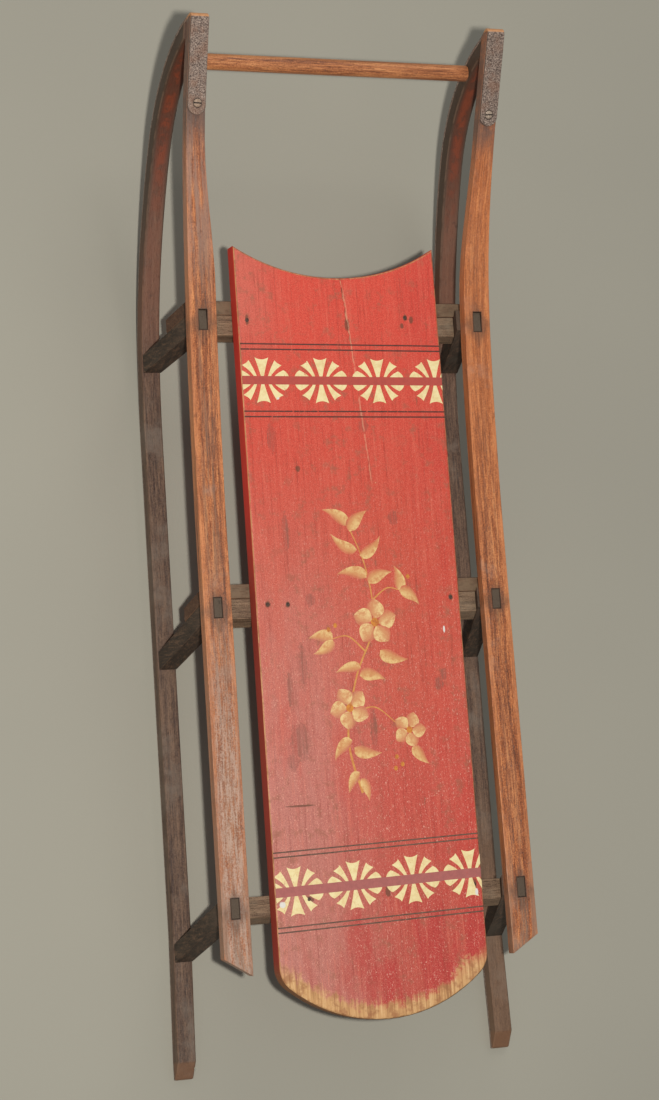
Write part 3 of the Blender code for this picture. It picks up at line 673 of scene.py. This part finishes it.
class Worn:
    """A copy of a CAD node with rounded, rubbed edges, cut fine enough to be uneven."""

    def __init__(self, node, kind, seed):
        axis, step, rounding, self.rubbing, self.fineness = WEAR[kind]
        self.node = node
        self.seed = seed
        self.shape = bmesh.new()
        self.shape.from_mesh(NODES[node].data)
        bmesh.ops.remove_doubles(self.shape, verts=self.shape.verts, dist=MERGE_DISTANCE)
        bmesh.ops.dissolve_limit(self.shape, angle_limit=FLAT_ANGLE,
                                 verts=self.shape.verts, edges=self.shape.edges)
        self.edge_face = self.shape.faces.layers.int.new("edge_face")
        self.mark_chamfers()
        self.round_edges(rounding)
        self.cut(axis, step)

    def mark_chamfers(self):
        """Marks narrow faces that the CAD solid already has along its edges."""
        for face in self.shape.faces:
            lengths = [edge.calc_length() for edge in face.edges]
            narrow = face.calc_area() / max(lengths) < CHAMFER_WIDTH
            face[self.edge_face] = int(min(lengths) < CHAMFER_EDGE and narrow)

    def round_edges(self, width):
        sharp = [edge for edge in self.shape.edges
                 if len(edge.link_faces) == 2 and edge.calc_face_angle() > SHARP_ANGLE]
        made = bmesh.ops.bevel(self.shape, geom=sharp, offset=width, segments=2, profile=0.5,
                               affect="EDGES", clamp_overlap=True)
        for face in made["faces"]:
            face[self.edge_face] = 1

    def cut(self, axis, step):
        low = min(vertex.co[axis] for vertex in self.shape.verts)
        high = max(vertex.co[axis] for vertex in self.shape.verts)
        count = int((high - low) / step)
        normal = Vector((0, 0, 0))
        normal[axis] = 1
        for k in range(1, count):
            place = normal * (low + (high - low) * k / count)
            everything = self.shape.verts[:] + self.shape.edges[:] + self.shape.faces[:]
            bmesh.ops.bisect_plane(self.shape, geom=everything, plane_co=place, plane_no=normal, dist=1e-6)

    def on_edge(self, vertex):
        return all(face[self.edge_face] for face in vertex.link_faces)

    def rub(self):
        """Moves the edges' vertices inwards by an uneven amount, never outwards."""
        self.shape.normal_update()
        scale = self.fineness
        steps = []
        for vertex in self.shape.verts:
            if not self.on_edge(vertex):
                continue
            rough = 0.5 + 0.5 * grown_noise(vertex.co, scale, self.seed)
            rough += 0.35 * grown_noise(vertex.co, 4 * scale, self.seed + 9)
            steps.append((vertex, vertex.normal * self.rubbing * max(0.0, rough)))
        for vertex, step in steps:
            vertex.co -= step

    def build(self, material, slot, grain):
        """Makes the piece, with each vertex's place along the grain and how near an edge it is."""
        name = self.node + "_worn"
        edge_values = [float(self.on_edge(vertex)) for vertex in self.shape.verts]
        mesh = made_mesh(name, self.shape)
        grain_layer = mesh.attributes.new("grain", "FLOAT_VECTOR", "POINT")
        for vertex, item in zip(mesh.vertices, grain_layer.data):
            item.vector = grain(vertex.co)
        add_values(mesh, "edge", edge_values)
        mesh.materials.append(material)
        return place_piece(name, mesh, slot, self.node)


def add_values(mesh, name, values):
    layer = mesh.attributes.new(name, "FLOAT", "POINT")
    for value, item in zip(values, layer.data):
        item.value = value


def place_piece(name, mesh, slot, *replaced):
    for polygon in mesh.polygons:
        polygon.use_smooth = True
    piece = new_object(name, mesh)
    even = piece.modifiers.new("even_normals", "WEIGHTED_NORMAL")
    even.mode = "FACE_AREA"
    even.weight = 80
    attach(piece, BODY)
    if replaced:
        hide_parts(*replaced)
    return piece


def midline(node, stations=60):
    """Side-view points along the middle of a bent strip, the length run so far, and its middle |x| there."""
    low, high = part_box(node)
    wide = (high.y - low.y) / stations
    slots = [[] for _ in range(stations)]
    mesh = NODES[node].data
    for edge in mesh.edges:
        first, second = (mesh.vertices[i].co for i in edge.vertices)
        count = 1 + int((second - first).length / SAMPLE_STEP)
        for k in range(count + 1):
            point = first.lerp(second, k / count)
            slots[min(int((point.y - low.y) / wide), stations - 1)].append(point)
    points = []
    middles = []
    for number, found in enumerate(slots):
        heights = [point.z for point in found]
        offsets = [abs(point.x) for point in found]
        points.append(Vector((low.y + (number + 0.5) * wide, (min(heights) + max(heights)) / 2)))
        middles.append((min(offsets) + max(offsets)) / 2)
    lengths = [0.0]
    for first, second in zip(points, points[1:]):
        lengths.append(lengths[-1] + (second - first).length)
    return points, lengths, middles


def bent_grain(node):
    """Grain coordinates of a strip bent in the side view: across, along, depth."""
    points, lengths, middles = midline(node)

    def grain(place):
        here = Vector((place.y, place.z))
        best = None
        for index, (first, second) in enumerate(zip(points, points[1:])):
            step = second - first
            share = (here - first).dot(step) / step.length_squared
            held = min(max(share, 0.0), 1.0)
            off = here - (first + step * held)
            if best is None or off.length < best[0]:
                side = (step.x * off.y - step.y * off.x) / step.length
                run = share if 0 <= share <= 1 or index in (0, len(points) - 2) else held
                middle = middles[index] + (middles[index + 1] - middles[index]) * held
                best = (off.length, lengths[index] + run * step.length, side, middle)
        return (abs(place.x) - best[3], best[1], best[2])

    return grain


def cross_grain(start):
    """Grain across the sled; start sets kinds of pieces apart, so that no two look alike."""
    return lambda place: (place.y, place.x + start, place.z)


def leg_grain(place):
    return (place.x, place.z + 2.0 + place.y, place.y)


def build_worn(node, kind, seed, finish, slot, grain):
    copy = Worn(node, kind, seed)
    copy.rub()
    copy.build(finish, slot, grain)


def build_strips(kind, seed, finish, slot):
    """The two bent strips of a kind, rails or runners."""
    for label, side in SIDES:
        node = kind + "_" + label
        build_worn(node, kind, seed + side, finish, slot, bent_grain(node))


def build_benches(bar_finish, brace_finish, leg_finish):
    for number, name in enumerate(BENCHES):
        bench = "bench_" + name
        build_worn(bench + "_bar", "bar", 20 + number, bar_finish, "bench_wood", cross_grain(0.3))
        if name != "rear":
            build_worn(bench + "_brace", "brace", 30 + number, brace_finish, "bench_wood", cross_grain(1.1))
        for label, side in SIDES:
            leg = bench + "_leg_" + label
            build_worn(leg, "leg", 40 + number + side, leg_finish, "bench_wood", leg_grain)


def build_shoes(finish):
    for label, side in SIDES:
        build_worn("shoe_" + label, "shoe", 60 + side, finish, "shoe_iron", tuple)


def deck_half(y):
    share = min(max((y - DECK_TAPER_FROM) / (DECK_TAPER_TO - DECK_TAPER_FROM), 0.0), 1.0)
    return DECK_HALF_REAR + (DECK_HALF_FRONT - DECK_HALF_REAR) * share


def rim_nearness(place):
    """How near a place on the deck is to its long sides or its round tail, from 0 to 1."""
    gap = deck_half(place.y) - abs(place.x)
    if place.y <= DECK_REAR + DECK_REAR_RADIUS / 2:
        centre = Vector((0, DECK_REAR + DECK_REAR_RADIUS))
        gap = min(gap, DECK_REAR_RADIUS - (place.xy - centre).length)
    return 1.0 - min(max(gap / RIM_WIDTH, 0.0), 1.0)


def build_deck(finish):
    deck = Worn("deck_board", "deck", 70)
    deck.cut(0, DECK_STEP_ACROSS)
    deck.rub()
    rim = [rim_nearness(vertex.co) for vertex in deck.shape.verts]
    piece = deck.build(finish, "deck_paint", tuple)
    add_values(piece.data, "rim", rim)


# Painted ornament


class Film:
    """Thin closed paint shapes that lie on the deck, all in one piece, each stroke over the last."""

    def __init__(self, below=None):
        self.shape = bmesh.new()
        self.tone = self.shape.verts.layers.float_vector.new("tone")
        self.top = below.top if below else DECK_TOP + FILM

    def outline(self, points):
        """Flat shape from its corner points, wound either way."""
        self.top += STROKE_STEP
        top = [self.shape.verts.new((x, y, self.top)) for x, y in points]
        bottom = [self.shape.verts.new((x, y, DECK_TOP - FILM_SINK)) for x, y in points]
        self.shape.faces.new(top)
        self.shape.faces.new(reversed(bottom))
        for k in range(len(points)):
            after = (k + 1) % len(points)
            self.shape.faces.new((top[k], bottom[k], bottom[after], top[after]))

    def strip(self, rows):
        """Shape from rows of points across it; each vertex keeps where in the stroke it lies."""
        self.top += STROKE_STEP
        lines = []
        for r, row in enumerate(rows):
            line = []
            for c, (x, y) in enumerate(row):
                pair = []
                for z in (self.top, DECK_TOP - FILM_SINK):
                    vertex = self.shape.verts.new((x, y, z))
                    vertex[self.tone] = (c / (len(row) - 1), r / (len(rows) - 1), 0)
                    pair.append(vertex)
                line.append(pair)
            lines.append(line)
        for near, far in zip(lines, lines[1:]):
            for c in range(len(near) - 1):
                for layer in (0, 1):
                    self.shape.faces.new((near[c][layer], near[c + 1][layer],
                                          far[c + 1][layer], far[c][layer]))
            for c in (0, -1):
                self.shape.faces.new((near[c][0], near[c][1], far[c][1], far[c][0]))
        for line in (lines[0], lines[-1]):
            for c in range(len(line) - 1):
                self.shape.faces.new((line[c][0], line[c + 1][0], line[c + 1][1], line[c][1]))

    def trim_to_deck(self):
        """Cuts off what would stand over the deck's long sides."""
        for side in (-1, 1):
            front = Vector((side * (deck_half(DECK_TAPER_TO) - FILM_TRIM), DECK_TAPER_TO, 0))
            rear = Vector((side * (deck_half(DECK_TAPER_FROM) - FILM_TRIM), DECK_TAPER_FROM, 0))
            along = front - rear
            normal = Vector((along.y, -along.x, 0)) * side
            everything = self.shape.verts[:] + self.shape.edges[:] + self.shape.faces[:]
            cut = bmesh.ops.bisect_plane(self.shape, geom=everything, plane_co=rear, plane_no=normal,
                                         clear_outer=True)
            rim = [item for item in cut["geom_cut"] if isinstance(item, bmesh.types.BMEdge)]
            bmesh.ops.holes_fill(self.shape, edges=rim, sides=0)

    def build(self, name, material):
        bmesh.ops.triangulate(self.shape, faces=[face for face in self.shape.faces if len(face.verts) > 4])
        bmesh.ops.recalc_face_normals(self.shape, faces=self.shape.faces)
        mesh = made_mesh(name, self.shape)
        mesh.materials.append(material)
        piece = new_object(name, mesh)
        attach(piece, BODY)


def curved(start, control, end, steps=6):
    """Points of a bent line from start up to, not including, end."""
    points = []
    for k in range(steps):
        t = k / steps
        points.append(tuple((1 - t) ** 2 * a + 2 * t * (1 - t) * b + t * t * c
                            for a, b, c in zip(start, control, end)))
    return points


def oval(x, y, half_width, half_length, sides):
    turns = [math.tau * k / sides for k in range(sides)]
    return [(x + half_width * math.cos(turn), y + half_length * math.sin(turn)) for turn in turns]


# Bands: petals are drawn in millimetres for a fan this high
STENCIL_REACH = 20.2
STENCIL_DRIFT = 0.0005
ROSETTE_COUNT = 4
ROSETTE_PITCH = 0.0669
LINE_HEIGHT = 0.0015
STRIPE_OVERHANG = 0.002
STRIPE_STEPS = 24


def fan_petals(reach):
    """Outlines of the five petals over a band's edge, in metres from the middle of that edge."""
    scale = reach / STENCIL_REACH
    middle = (curved((1.8, 0), (4.0, 9.2), (7.8, 20.0)) + curved((7.8, 20.0), (3.6, 17.8), (0, 17.8), 3)
              + curved((0, 17.8), (-3.6, 17.8), (-7.8, 20.0), 3)
              + curved((-7.8, 20.0), (-4.0, 9.2), (-1.8, 0)) + [(-1.8, 0)])
    flank = (curved((6.5, 0), (9.6, 8.5), (14.8, 17.0)) + [(14.8, 17.0)]
             + curved((16.2, 15.2), (18.6, 13.2), (22.6, 11.6), 3)
             + curved((22.6, 11.6), (14.0, 6.5), (9.8, 0)) + [(9.8, 0)])
    wedge = (curved((14.0, 0), (18.5, 4.2), (24.2, 6.4)) + curved((24.2, 6.4), (28.6, 4.3), (30.0, 0), 4)
             + [(30.0, 0)])
    petals = [middle]
    for petal in (flank, wedge):
        petals.append(petal)
        petals.append([(-x, y) for x, y in petal])
    return [[(x * scale * MM, y * scale * MM) for x, y in petal] for petal in petals]


class Band:
    """A stencilled band across the deck: two lines, a row of rosettes with a bar through, two lines."""

    def __init__(self, middle_y, tilt, first_x, reach, bar_height, bar_tones, line_steps, line_tones):
        self.middle_y = middle_y
        self.tilt = tilt
        self.first_x = first_x
        self.reach = reach
        self.bar_height = bar_height
        self.bar_tones = bar_tones
        self.line_steps = line_steps
        self.line_tones = line_tones

    def place(self, x, off):
        """Deck point at x along the band and off its middle line."""
        sine = math.sin(self.tilt)
        return (x - off * sine, self.middle_y + x * sine + off * math.cos(self.tilt))

    def add_stripe(self, film, off, height):
        reach = DECK_HALF_REAR + STRIPE_OVERHANG
        rows = []
        for k in range(STRIPE_STEPS + 1):
            x = -reach + 2 * reach * k / STRIPE_STEPS
            rows.append([self.place(x, off + height / 2), self.place(x, off - height / 2)])
        film.strip(rows)

    def add_rosettes(self, film):
        for number in range(ROSETTE_COUNT):
            x = self.first_x + ROSETTE_PITCH * number
            for flip in (1, -1):
                base = self.bar_height / 2 * flip
                for index, petal in enumerate(fan_petals(self.reach)):
                    spot = Vector((number * 3.1, index * 1.7, flip + self.middle_y * 9))
                    drift = STENCIL_DRIFT * noise.noise(spot)
                    film.outline([self.place(x + across + drift, base + flip * (out + drift / 2))
                                  for across, out in petal])


BANDS = {
    "front": Band(
        middle_y=0.1789, tilt=math.radians(-0.43), first_x=-0.0931, reach=20.2,
        bar_height=0.0090, bar_tones=((185, 79, 68), (176, 75, 66)),
        line_steps=(0.0392, 0.0334), line_tones=((92, 52, 44), (78, 46, 40))),
    "rear": Band(
        middle_y=-0.3568, tilt=math.radians(1.55), first_x=-0.0955, reach=20.6,
        bar_height=0.0100, bar_tones=((174, 101, 96), (164, 95, 91)),
        line_steps=(0.0413, 0.0362), line_tones=((112, 84, 70), (92, 68, 56))),
}


def build_bands():
    rosettes = Film()
    for name, band in BANDS.items():
        band.add_rosettes(rosettes)
        bar = Film()
        band.add_stripe(bar, 0.0, band.bar_height)
        bar.trim_to_deck()
        bar.build("band_bar_" + name, ornament_finish("bar_paint_" + name, *band.bar_tones, 0.65))
        lines = Film()
        for step in band.line_steps:
            for flip in (1, -1):
                band.add_stripe(lines, flip * step, LINE_HEIGHT)
        lines.trim_to_deck()
        lines.build("band_lines_" + name, ornament_finish("line_paint_" + name, *band.line_tones, 0.62))
    rosettes.trim_to_deck()
    rosettes.build("band_rosettes", ornament_finish("cream_paint", (243, 224, 170), (230, 205, 148), 0.64))


def leaf_rows(base, angle, length, width, bend, fullness, steps=10, across=5):
    """Rows of points across a leaf or petal drawn by one stroke."""
    rows = []
    for k in range(steps + 1):
        t = k / steps
        turn = angle + bend * (t - 0.35)
        middle = (base[0] + length * t * math.cos(turn), base[1] + length * t * math.sin(turn))
        swell = math.sin(math.pi * t ** fullness) if fullness < 1 else math.sin(math.pi * t) ** 0.8
        half = max(width / 2 * swell, THINNEST_STROKE)
        row = []
        for c in range(across):
            off = half * (2 * c / (across - 1) - 1)
            row.append((middle[0] - off * math.sin(turn), middle[1] + off * math.cos(turn)))
        rows.append(row)
    return rows


def smooth_path(points, steps=8):
    """Places along a smooth curve through points."""
    path = []
    for k in range(len(points) - 1):
        before = points[max(k - 1, 0)]
        start, end = points[k], points[k + 1]
        after = points[min(k + 2, len(points) - 1)]
        for step in range(steps):
            t = step / steps
            path.append(tuple(
                0.5 * (2 * b + (c - a) * t + (2 * a - 5 * b + 4 * c - d) * t * t
                       + (3 * b - a - 3 * c + d) * t ** 3)
                for a, b, c, d in zip(before, start, end, after)))
    path.append(points[-1])
    return path


def stem_rows(points, width):
    """Rows of points along a thin bent line through points, thinner at its end."""
    path = smooth_path(points)
    rows = []
    for k, (x, y) in enumerate(path):
        ahead = path[min(k + 1, len(path) - 1)]
        behind = path[max(k - 1, 0)]
        turn = math.atan2(ahead[1] - behind[1], ahead[0] - behind[0])
        half = width / 2 * (1 - 0.6 * k / len(path))
        rows.append([(x - off * math.sin(turn), y + off * math.cos(turn)) for off in (-half, 0.0, half)])
    return rows


# Gold spray: a generic stem of round flowers, leaves and berries
MAIN_STEM = (
    (-0.012, -0.262), (-0.024, -0.205), (-0.010, -0.140), (0.014, -0.085), (0.010, -0.025), (-0.008, 0.024),
)
SIDE_STEMS = (
    ((-0.019, -0.180), (0.008, -0.172), (0.032, -0.190)),
    ((0.002, -0.112), (-0.016, -0.096), (-0.034, -0.098)),
    ((0.013, -0.060), (0.032, -0.046), (0.046, -0.048)),
)

# Flowers: x, y, radius, turn in degrees
FLOWERS = ((0.016, -0.082, 0.0235, 10), (-0.020, -0.172, 0.0215, 40), (0.047, -0.198, 0.0180, 65))

# Leaves: x, y, direction in degrees, length and width in millimetres, bend in degrees
LEAVES = (
    (-0.008, 0.022, 128, 33, 14, 30), (-0.006, 0.016, 62, 31, 15, -25), (0.001, -0.004, 168, 34, 13, -30),
    (0.004, -0.010, 20, 32, 13, 30), (0.010, -0.034, 150, 34, 14, 35), (0.012, -0.040, 42, 30, 15, -30),
    (0.046, -0.048, 75, 26, 14, 35), (0.047, -0.049, -12, 27, 14, -35), (-0.034, -0.098, 158, 27, 14, 30),
    (-0.034, -0.099, 232, 27, 13, -30), (0.020, -0.112, -38, 33, 15, 30), (-0.004, -0.130, 172, 29, 12, 25),
    (-0.006, -0.138, 6, 30, 14, -25), (-0.020, -0.206, 205, 29, 13, 30), (-0.018, -0.214, -28, 32, 14, 25),
    (0.052, -0.214, -70, 26, 13, 25), (-0.014, -0.240, 222, 25, 11, 25), (-0.013, -0.247, -55, 25, 11, -25),
)
BERRIES = (
    (-0.030, -0.084), (-0.038, -0.088), (0.058, -0.034), (0.030, -0.226), (0.036, -0.234), (0.028, -0.238),
)
MAIN_STEM_WIDTH = 0.0026
SIDE_STEM_WIDTH = 0.0018
THINNEST_STROKE = 0.00025
PETAL_COUNT = 5
PETAL_BEND = math.radians(14)
BERRY_HALF_WIDTH = 0.0022
BERRY_HALF_LENGTH = 0.0026


def add_flower(film, x, y, radius, turn):
    for k in range(PETAL_COUNT):
        angle = math.radians(turn + 360 / PETAL_COUNT * k)
        base = (x + 0.16 * radius * math.cos(angle), y + 0.16 * radius * math.sin(angle))
        film.strip(leaf_rows(base, angle, 0.92 * radius, 0.86 * radius, PETAL_BEND, 1.6))


def build_spray():
    stems = Film()
    stems.strip(stem_rows(MAIN_STEM, MAIN_STEM_WIDTH))
    for stem in SIDE_STEMS:
        stems.strip(stem_rows(stem, SIDE_STEM_WIDTH))
    leaves = Film(stems)
    for x, y, angle, length, width, bend in LEAVES:
        rows = leaf_rows((x, y), math.radians(angle), length * MM, width * MM, math.radians(bend), 0.62)
        leaves.strip(rows)
    flowers = Film(leaves)
    for flower in FLOWERS:
        add_flower(flowers, *flower)
    hearts = Film(flowers)
    for x, y, radius, _ in FLOWERS:
        hearts.outline(oval(x, y, 0.2 * radius, 0.2 * radius, 14))
    for x, y in BERRIES:
        hearts.outline(oval(x, y, BERRY_HALF_WIDTH, BERRY_HALF_LENGTH, 12))
    leaf_paint = ornament_finish("gold_leaf_paint", (230, 194, 132), (208, 144, 92), 0.68, True)
    leaves.build("spray_leaves", leaf_paint)
    petal_paint = ornament_finish("gold_petal_paint", (234, 203, 143), (210, 146, 98), 0.68, True)
    flowers.build("spray_flowers", petal_paint)
    stems.build("spray_stems", ornament_finish("stem_paint", (214, 156, 84), (202, 128, 66), 0.62))
    hearts.build("spray_hearts", ornament_finish("heart_paint", (214, 140, 56), (184, 104, 50), 0.66))


# Fasteners


def surface_at(node, x, y):
    """Point and direction of a node's upper face at a plan place."""
    mesh = NODES[node].data
    corners = [vertex.co for vertex in mesh.vertices]
    faces = BVHTree.FromPolygons(corners, [tuple(polygon.vertices) for polygon in mesh.polygons])
    point, normal, _, _ = faces.ray_cast(Vector((x, y, RAY_HEIGHT)), Vector((0, 0, -1)))
    return point, normal


def head_mesh(name, radius, dome, sides=40):
    """Low domed head with a flat foot."""
    shape = bmesh.new()
    rings = []
    for share, height in HEAD_PROFILE:
        circle = oval(0, 0, radius * share, radius * share, sides)
        rings.append([shape.verts.new((x, y, dome * height)) for x, y in circle])
    for low, high in zip(rings, rings[1:]):
        for k in range(sides):
            after = (k + 1) % sides
            shape.faces.new((low[k], low[after], high[after], high[k]))
    shape.faces.new(rings[-1])
    shape.faces.new(reversed(rings[0]))
    mesh = made_mesh(name, shape)
    return mesh


def slotted(mesh, radius, dome, slot_width):
    """A head with a slot across it, whose floor is marked as hollow for painted shade."""
    shape = bmesh.new()
    bmesh.ops.create_cube(shape, size=1.0)
    bmesh.ops.scale(shape, vec=(3 * radius, slot_width, dome), verts=shape.verts)
    bmesh.ops.translate(shape, vec=(0, 0, SLOT_MIDDLE * dome), verts=shape.verts)
    head = new_object("head", mesh)
    cutter = new_object("slot", made_mesh("slot", shape))
    step = head.modifiers.new("slot", "BOOLEAN")
    step.operation = "DIFFERENCE"
    step.solver = "EXACT"
    step.object = cutter
    bpy.context.view_layer.update()
    result = bpy.data.meshes.new_from_object(head.evaluated_get(bpy.context.evaluated_depsgraph_get()))
    for item in (head, cutter):
        bpy.data.objects.remove(item)
    slot_floor = (SLOT_MIDDLE - 0.5) * dome
    add_values(result, "hollow", [
        float(abs(vertex.co.z - slot_floor) < 0.02 * dome and abs(vertex.co.y) < slot_width)
        for vertex in result.vertices])
    return result


def put_head(name, mesh, material, node, x, y, turn=0.0):
    point, normal = surface_at(node, x, y)
    rest = normal.to_track_quat("Z", "Y").to_matrix().to_4x4()
    mesh = mesh.copy()
    mesh.transform(Matrix.Translation(point) @ rest @ Matrix.Rotation(turn, 4, "Z"))
    mesh.materials.clear()
    mesh.materials.append(material)
    place_piece(name, mesh, "shoe_iron")




def build_fasteners():
    steel = iron_finish("screw_iron", (146, 128, 112), (184, 167, 148), (160, 128, 104))
    nail_iron = iron_finish("nail_iron", (56, 42, 36), (92, 72, 60), (104, 62, 44))
    screw = head_mesh("strap_screw", SCREW_RADIUS, SCREW_DOME)
    screw = slotted(screw, SCREW_RADIUS, SCREW_DOME, SCREW_SLOT)
    nail = head_mesh("deck_nail", NAIL_RADIUS, NAIL_DOME)
    for label, side in SIDES:
        put_head("strap_screw_" + label, screw, steel, "shoe_" + label,
                 side * STRAP_MIDDLE_X, SCREW_Y, SCREW_TURN * side)
    for number, (x, y, _, _) in enumerate(NAIL_STAINS):
        put_head("deck_nail_%d" % number, nail, nail_iron, "deck_board", x, y)


# Stage


def camera_axes():
    """The camera's right, up and back directions."""
    level = CAMERA_FORWARD.cross(Vector((0, 1, 0))).normalized()
    rise = level.cross(CAMERA_FORWARD)
    right = math.cos(CAMERA_ROLL) * level + math.sin(CAMERA_ROLL) * rise
    up = math.cos(CAMERA_ROLL) * rise - math.sin(CAMERA_ROLL) * level
    return right, up, -CAMERA_FORWARD.normalized()


def add_camera():
    data = bpy.data.cameras.new("camera")
    data.sensor_width = SENSOR
    data.lens = SENSOR * FOCAL_PIXELS / PHOTO_HEIGHT
    data.clip_end = CLIP_END
    camera = new_object("camera", data)
    turn = Matrix(camera_axes()).transposed()
    camera.matrix_world = Matrix.Translation(CAMERA_PLACE) @ turn.to_4x4()
    bpy.context.scene.camera = camera


def add_floor():
    mesh = bpy.data.meshes.new("floor")
    corners = [(x * FLOOR_REACH, y * FLOOR_REACH, 0) for x, y in ((-1, -1), (1, -1), (1, 1), (-1, 1))]
    mesh.from_pydata(corners, [], [(0, 1, 2, 3)])
    floor = new_object("floor", mesh)
    mesh.materials.append(floor_finish())


def add_lamp(name, place, aim, width, power, colour):
    data = bpy.data.lights.new(name, "AREA")
    data.size = width
    data.energy = power
    data.color = colour
    lamp = new_object(name, data)
    lamp.location = place
    lamp.rotation_euler = (Vector(aim) - Vector(place)).to_track_quat("-Z", "Y").to_euler()


def add_light():
    for name, lamp in LAMPS.items():
        add_lamp(name, *lamp)
    world = bpy.data.worlds.new("room")
    world.use_nodes = True
    background = world.node_tree.nodes["Background"]
    background.inputs["Color"].default_value = WORLD_COLOUR
    bpy.context.scene.world = world


def main():
    bpy.context.scene.view_settings.view_transform = "Standard"
    add_camera()
    add_floor()
    add_light()
    woods = {name: wood_finish(name, *wood) for name, wood in WOODS.items()}
    # The last tone is the painted highlight on the straps' front ends.
    iron = iron_finish("strap_iron", (84, 68, 60), (160, 141, 128), (136, 98, 76), (224, 160, 108))
    build_deck(deck_finish())
    build_bands()
    build_spray()
    build_strips("rail", 3, woods["rail_wood"], "rail_wood")
    build_strips("runner", 13, woods["runner_wood"], "runner_wood")
    build_benches(woods["bench_wood"], woods["brace_wood_painted_shade"], woods["leg_wood_painted_shade"])
    build_worn("front_dowel", "dowel", 50, woods["dowel_wood"], "runner_wood", cross_grain(0.0))
    build_shoes(iron)
    build_fasteners()


main()
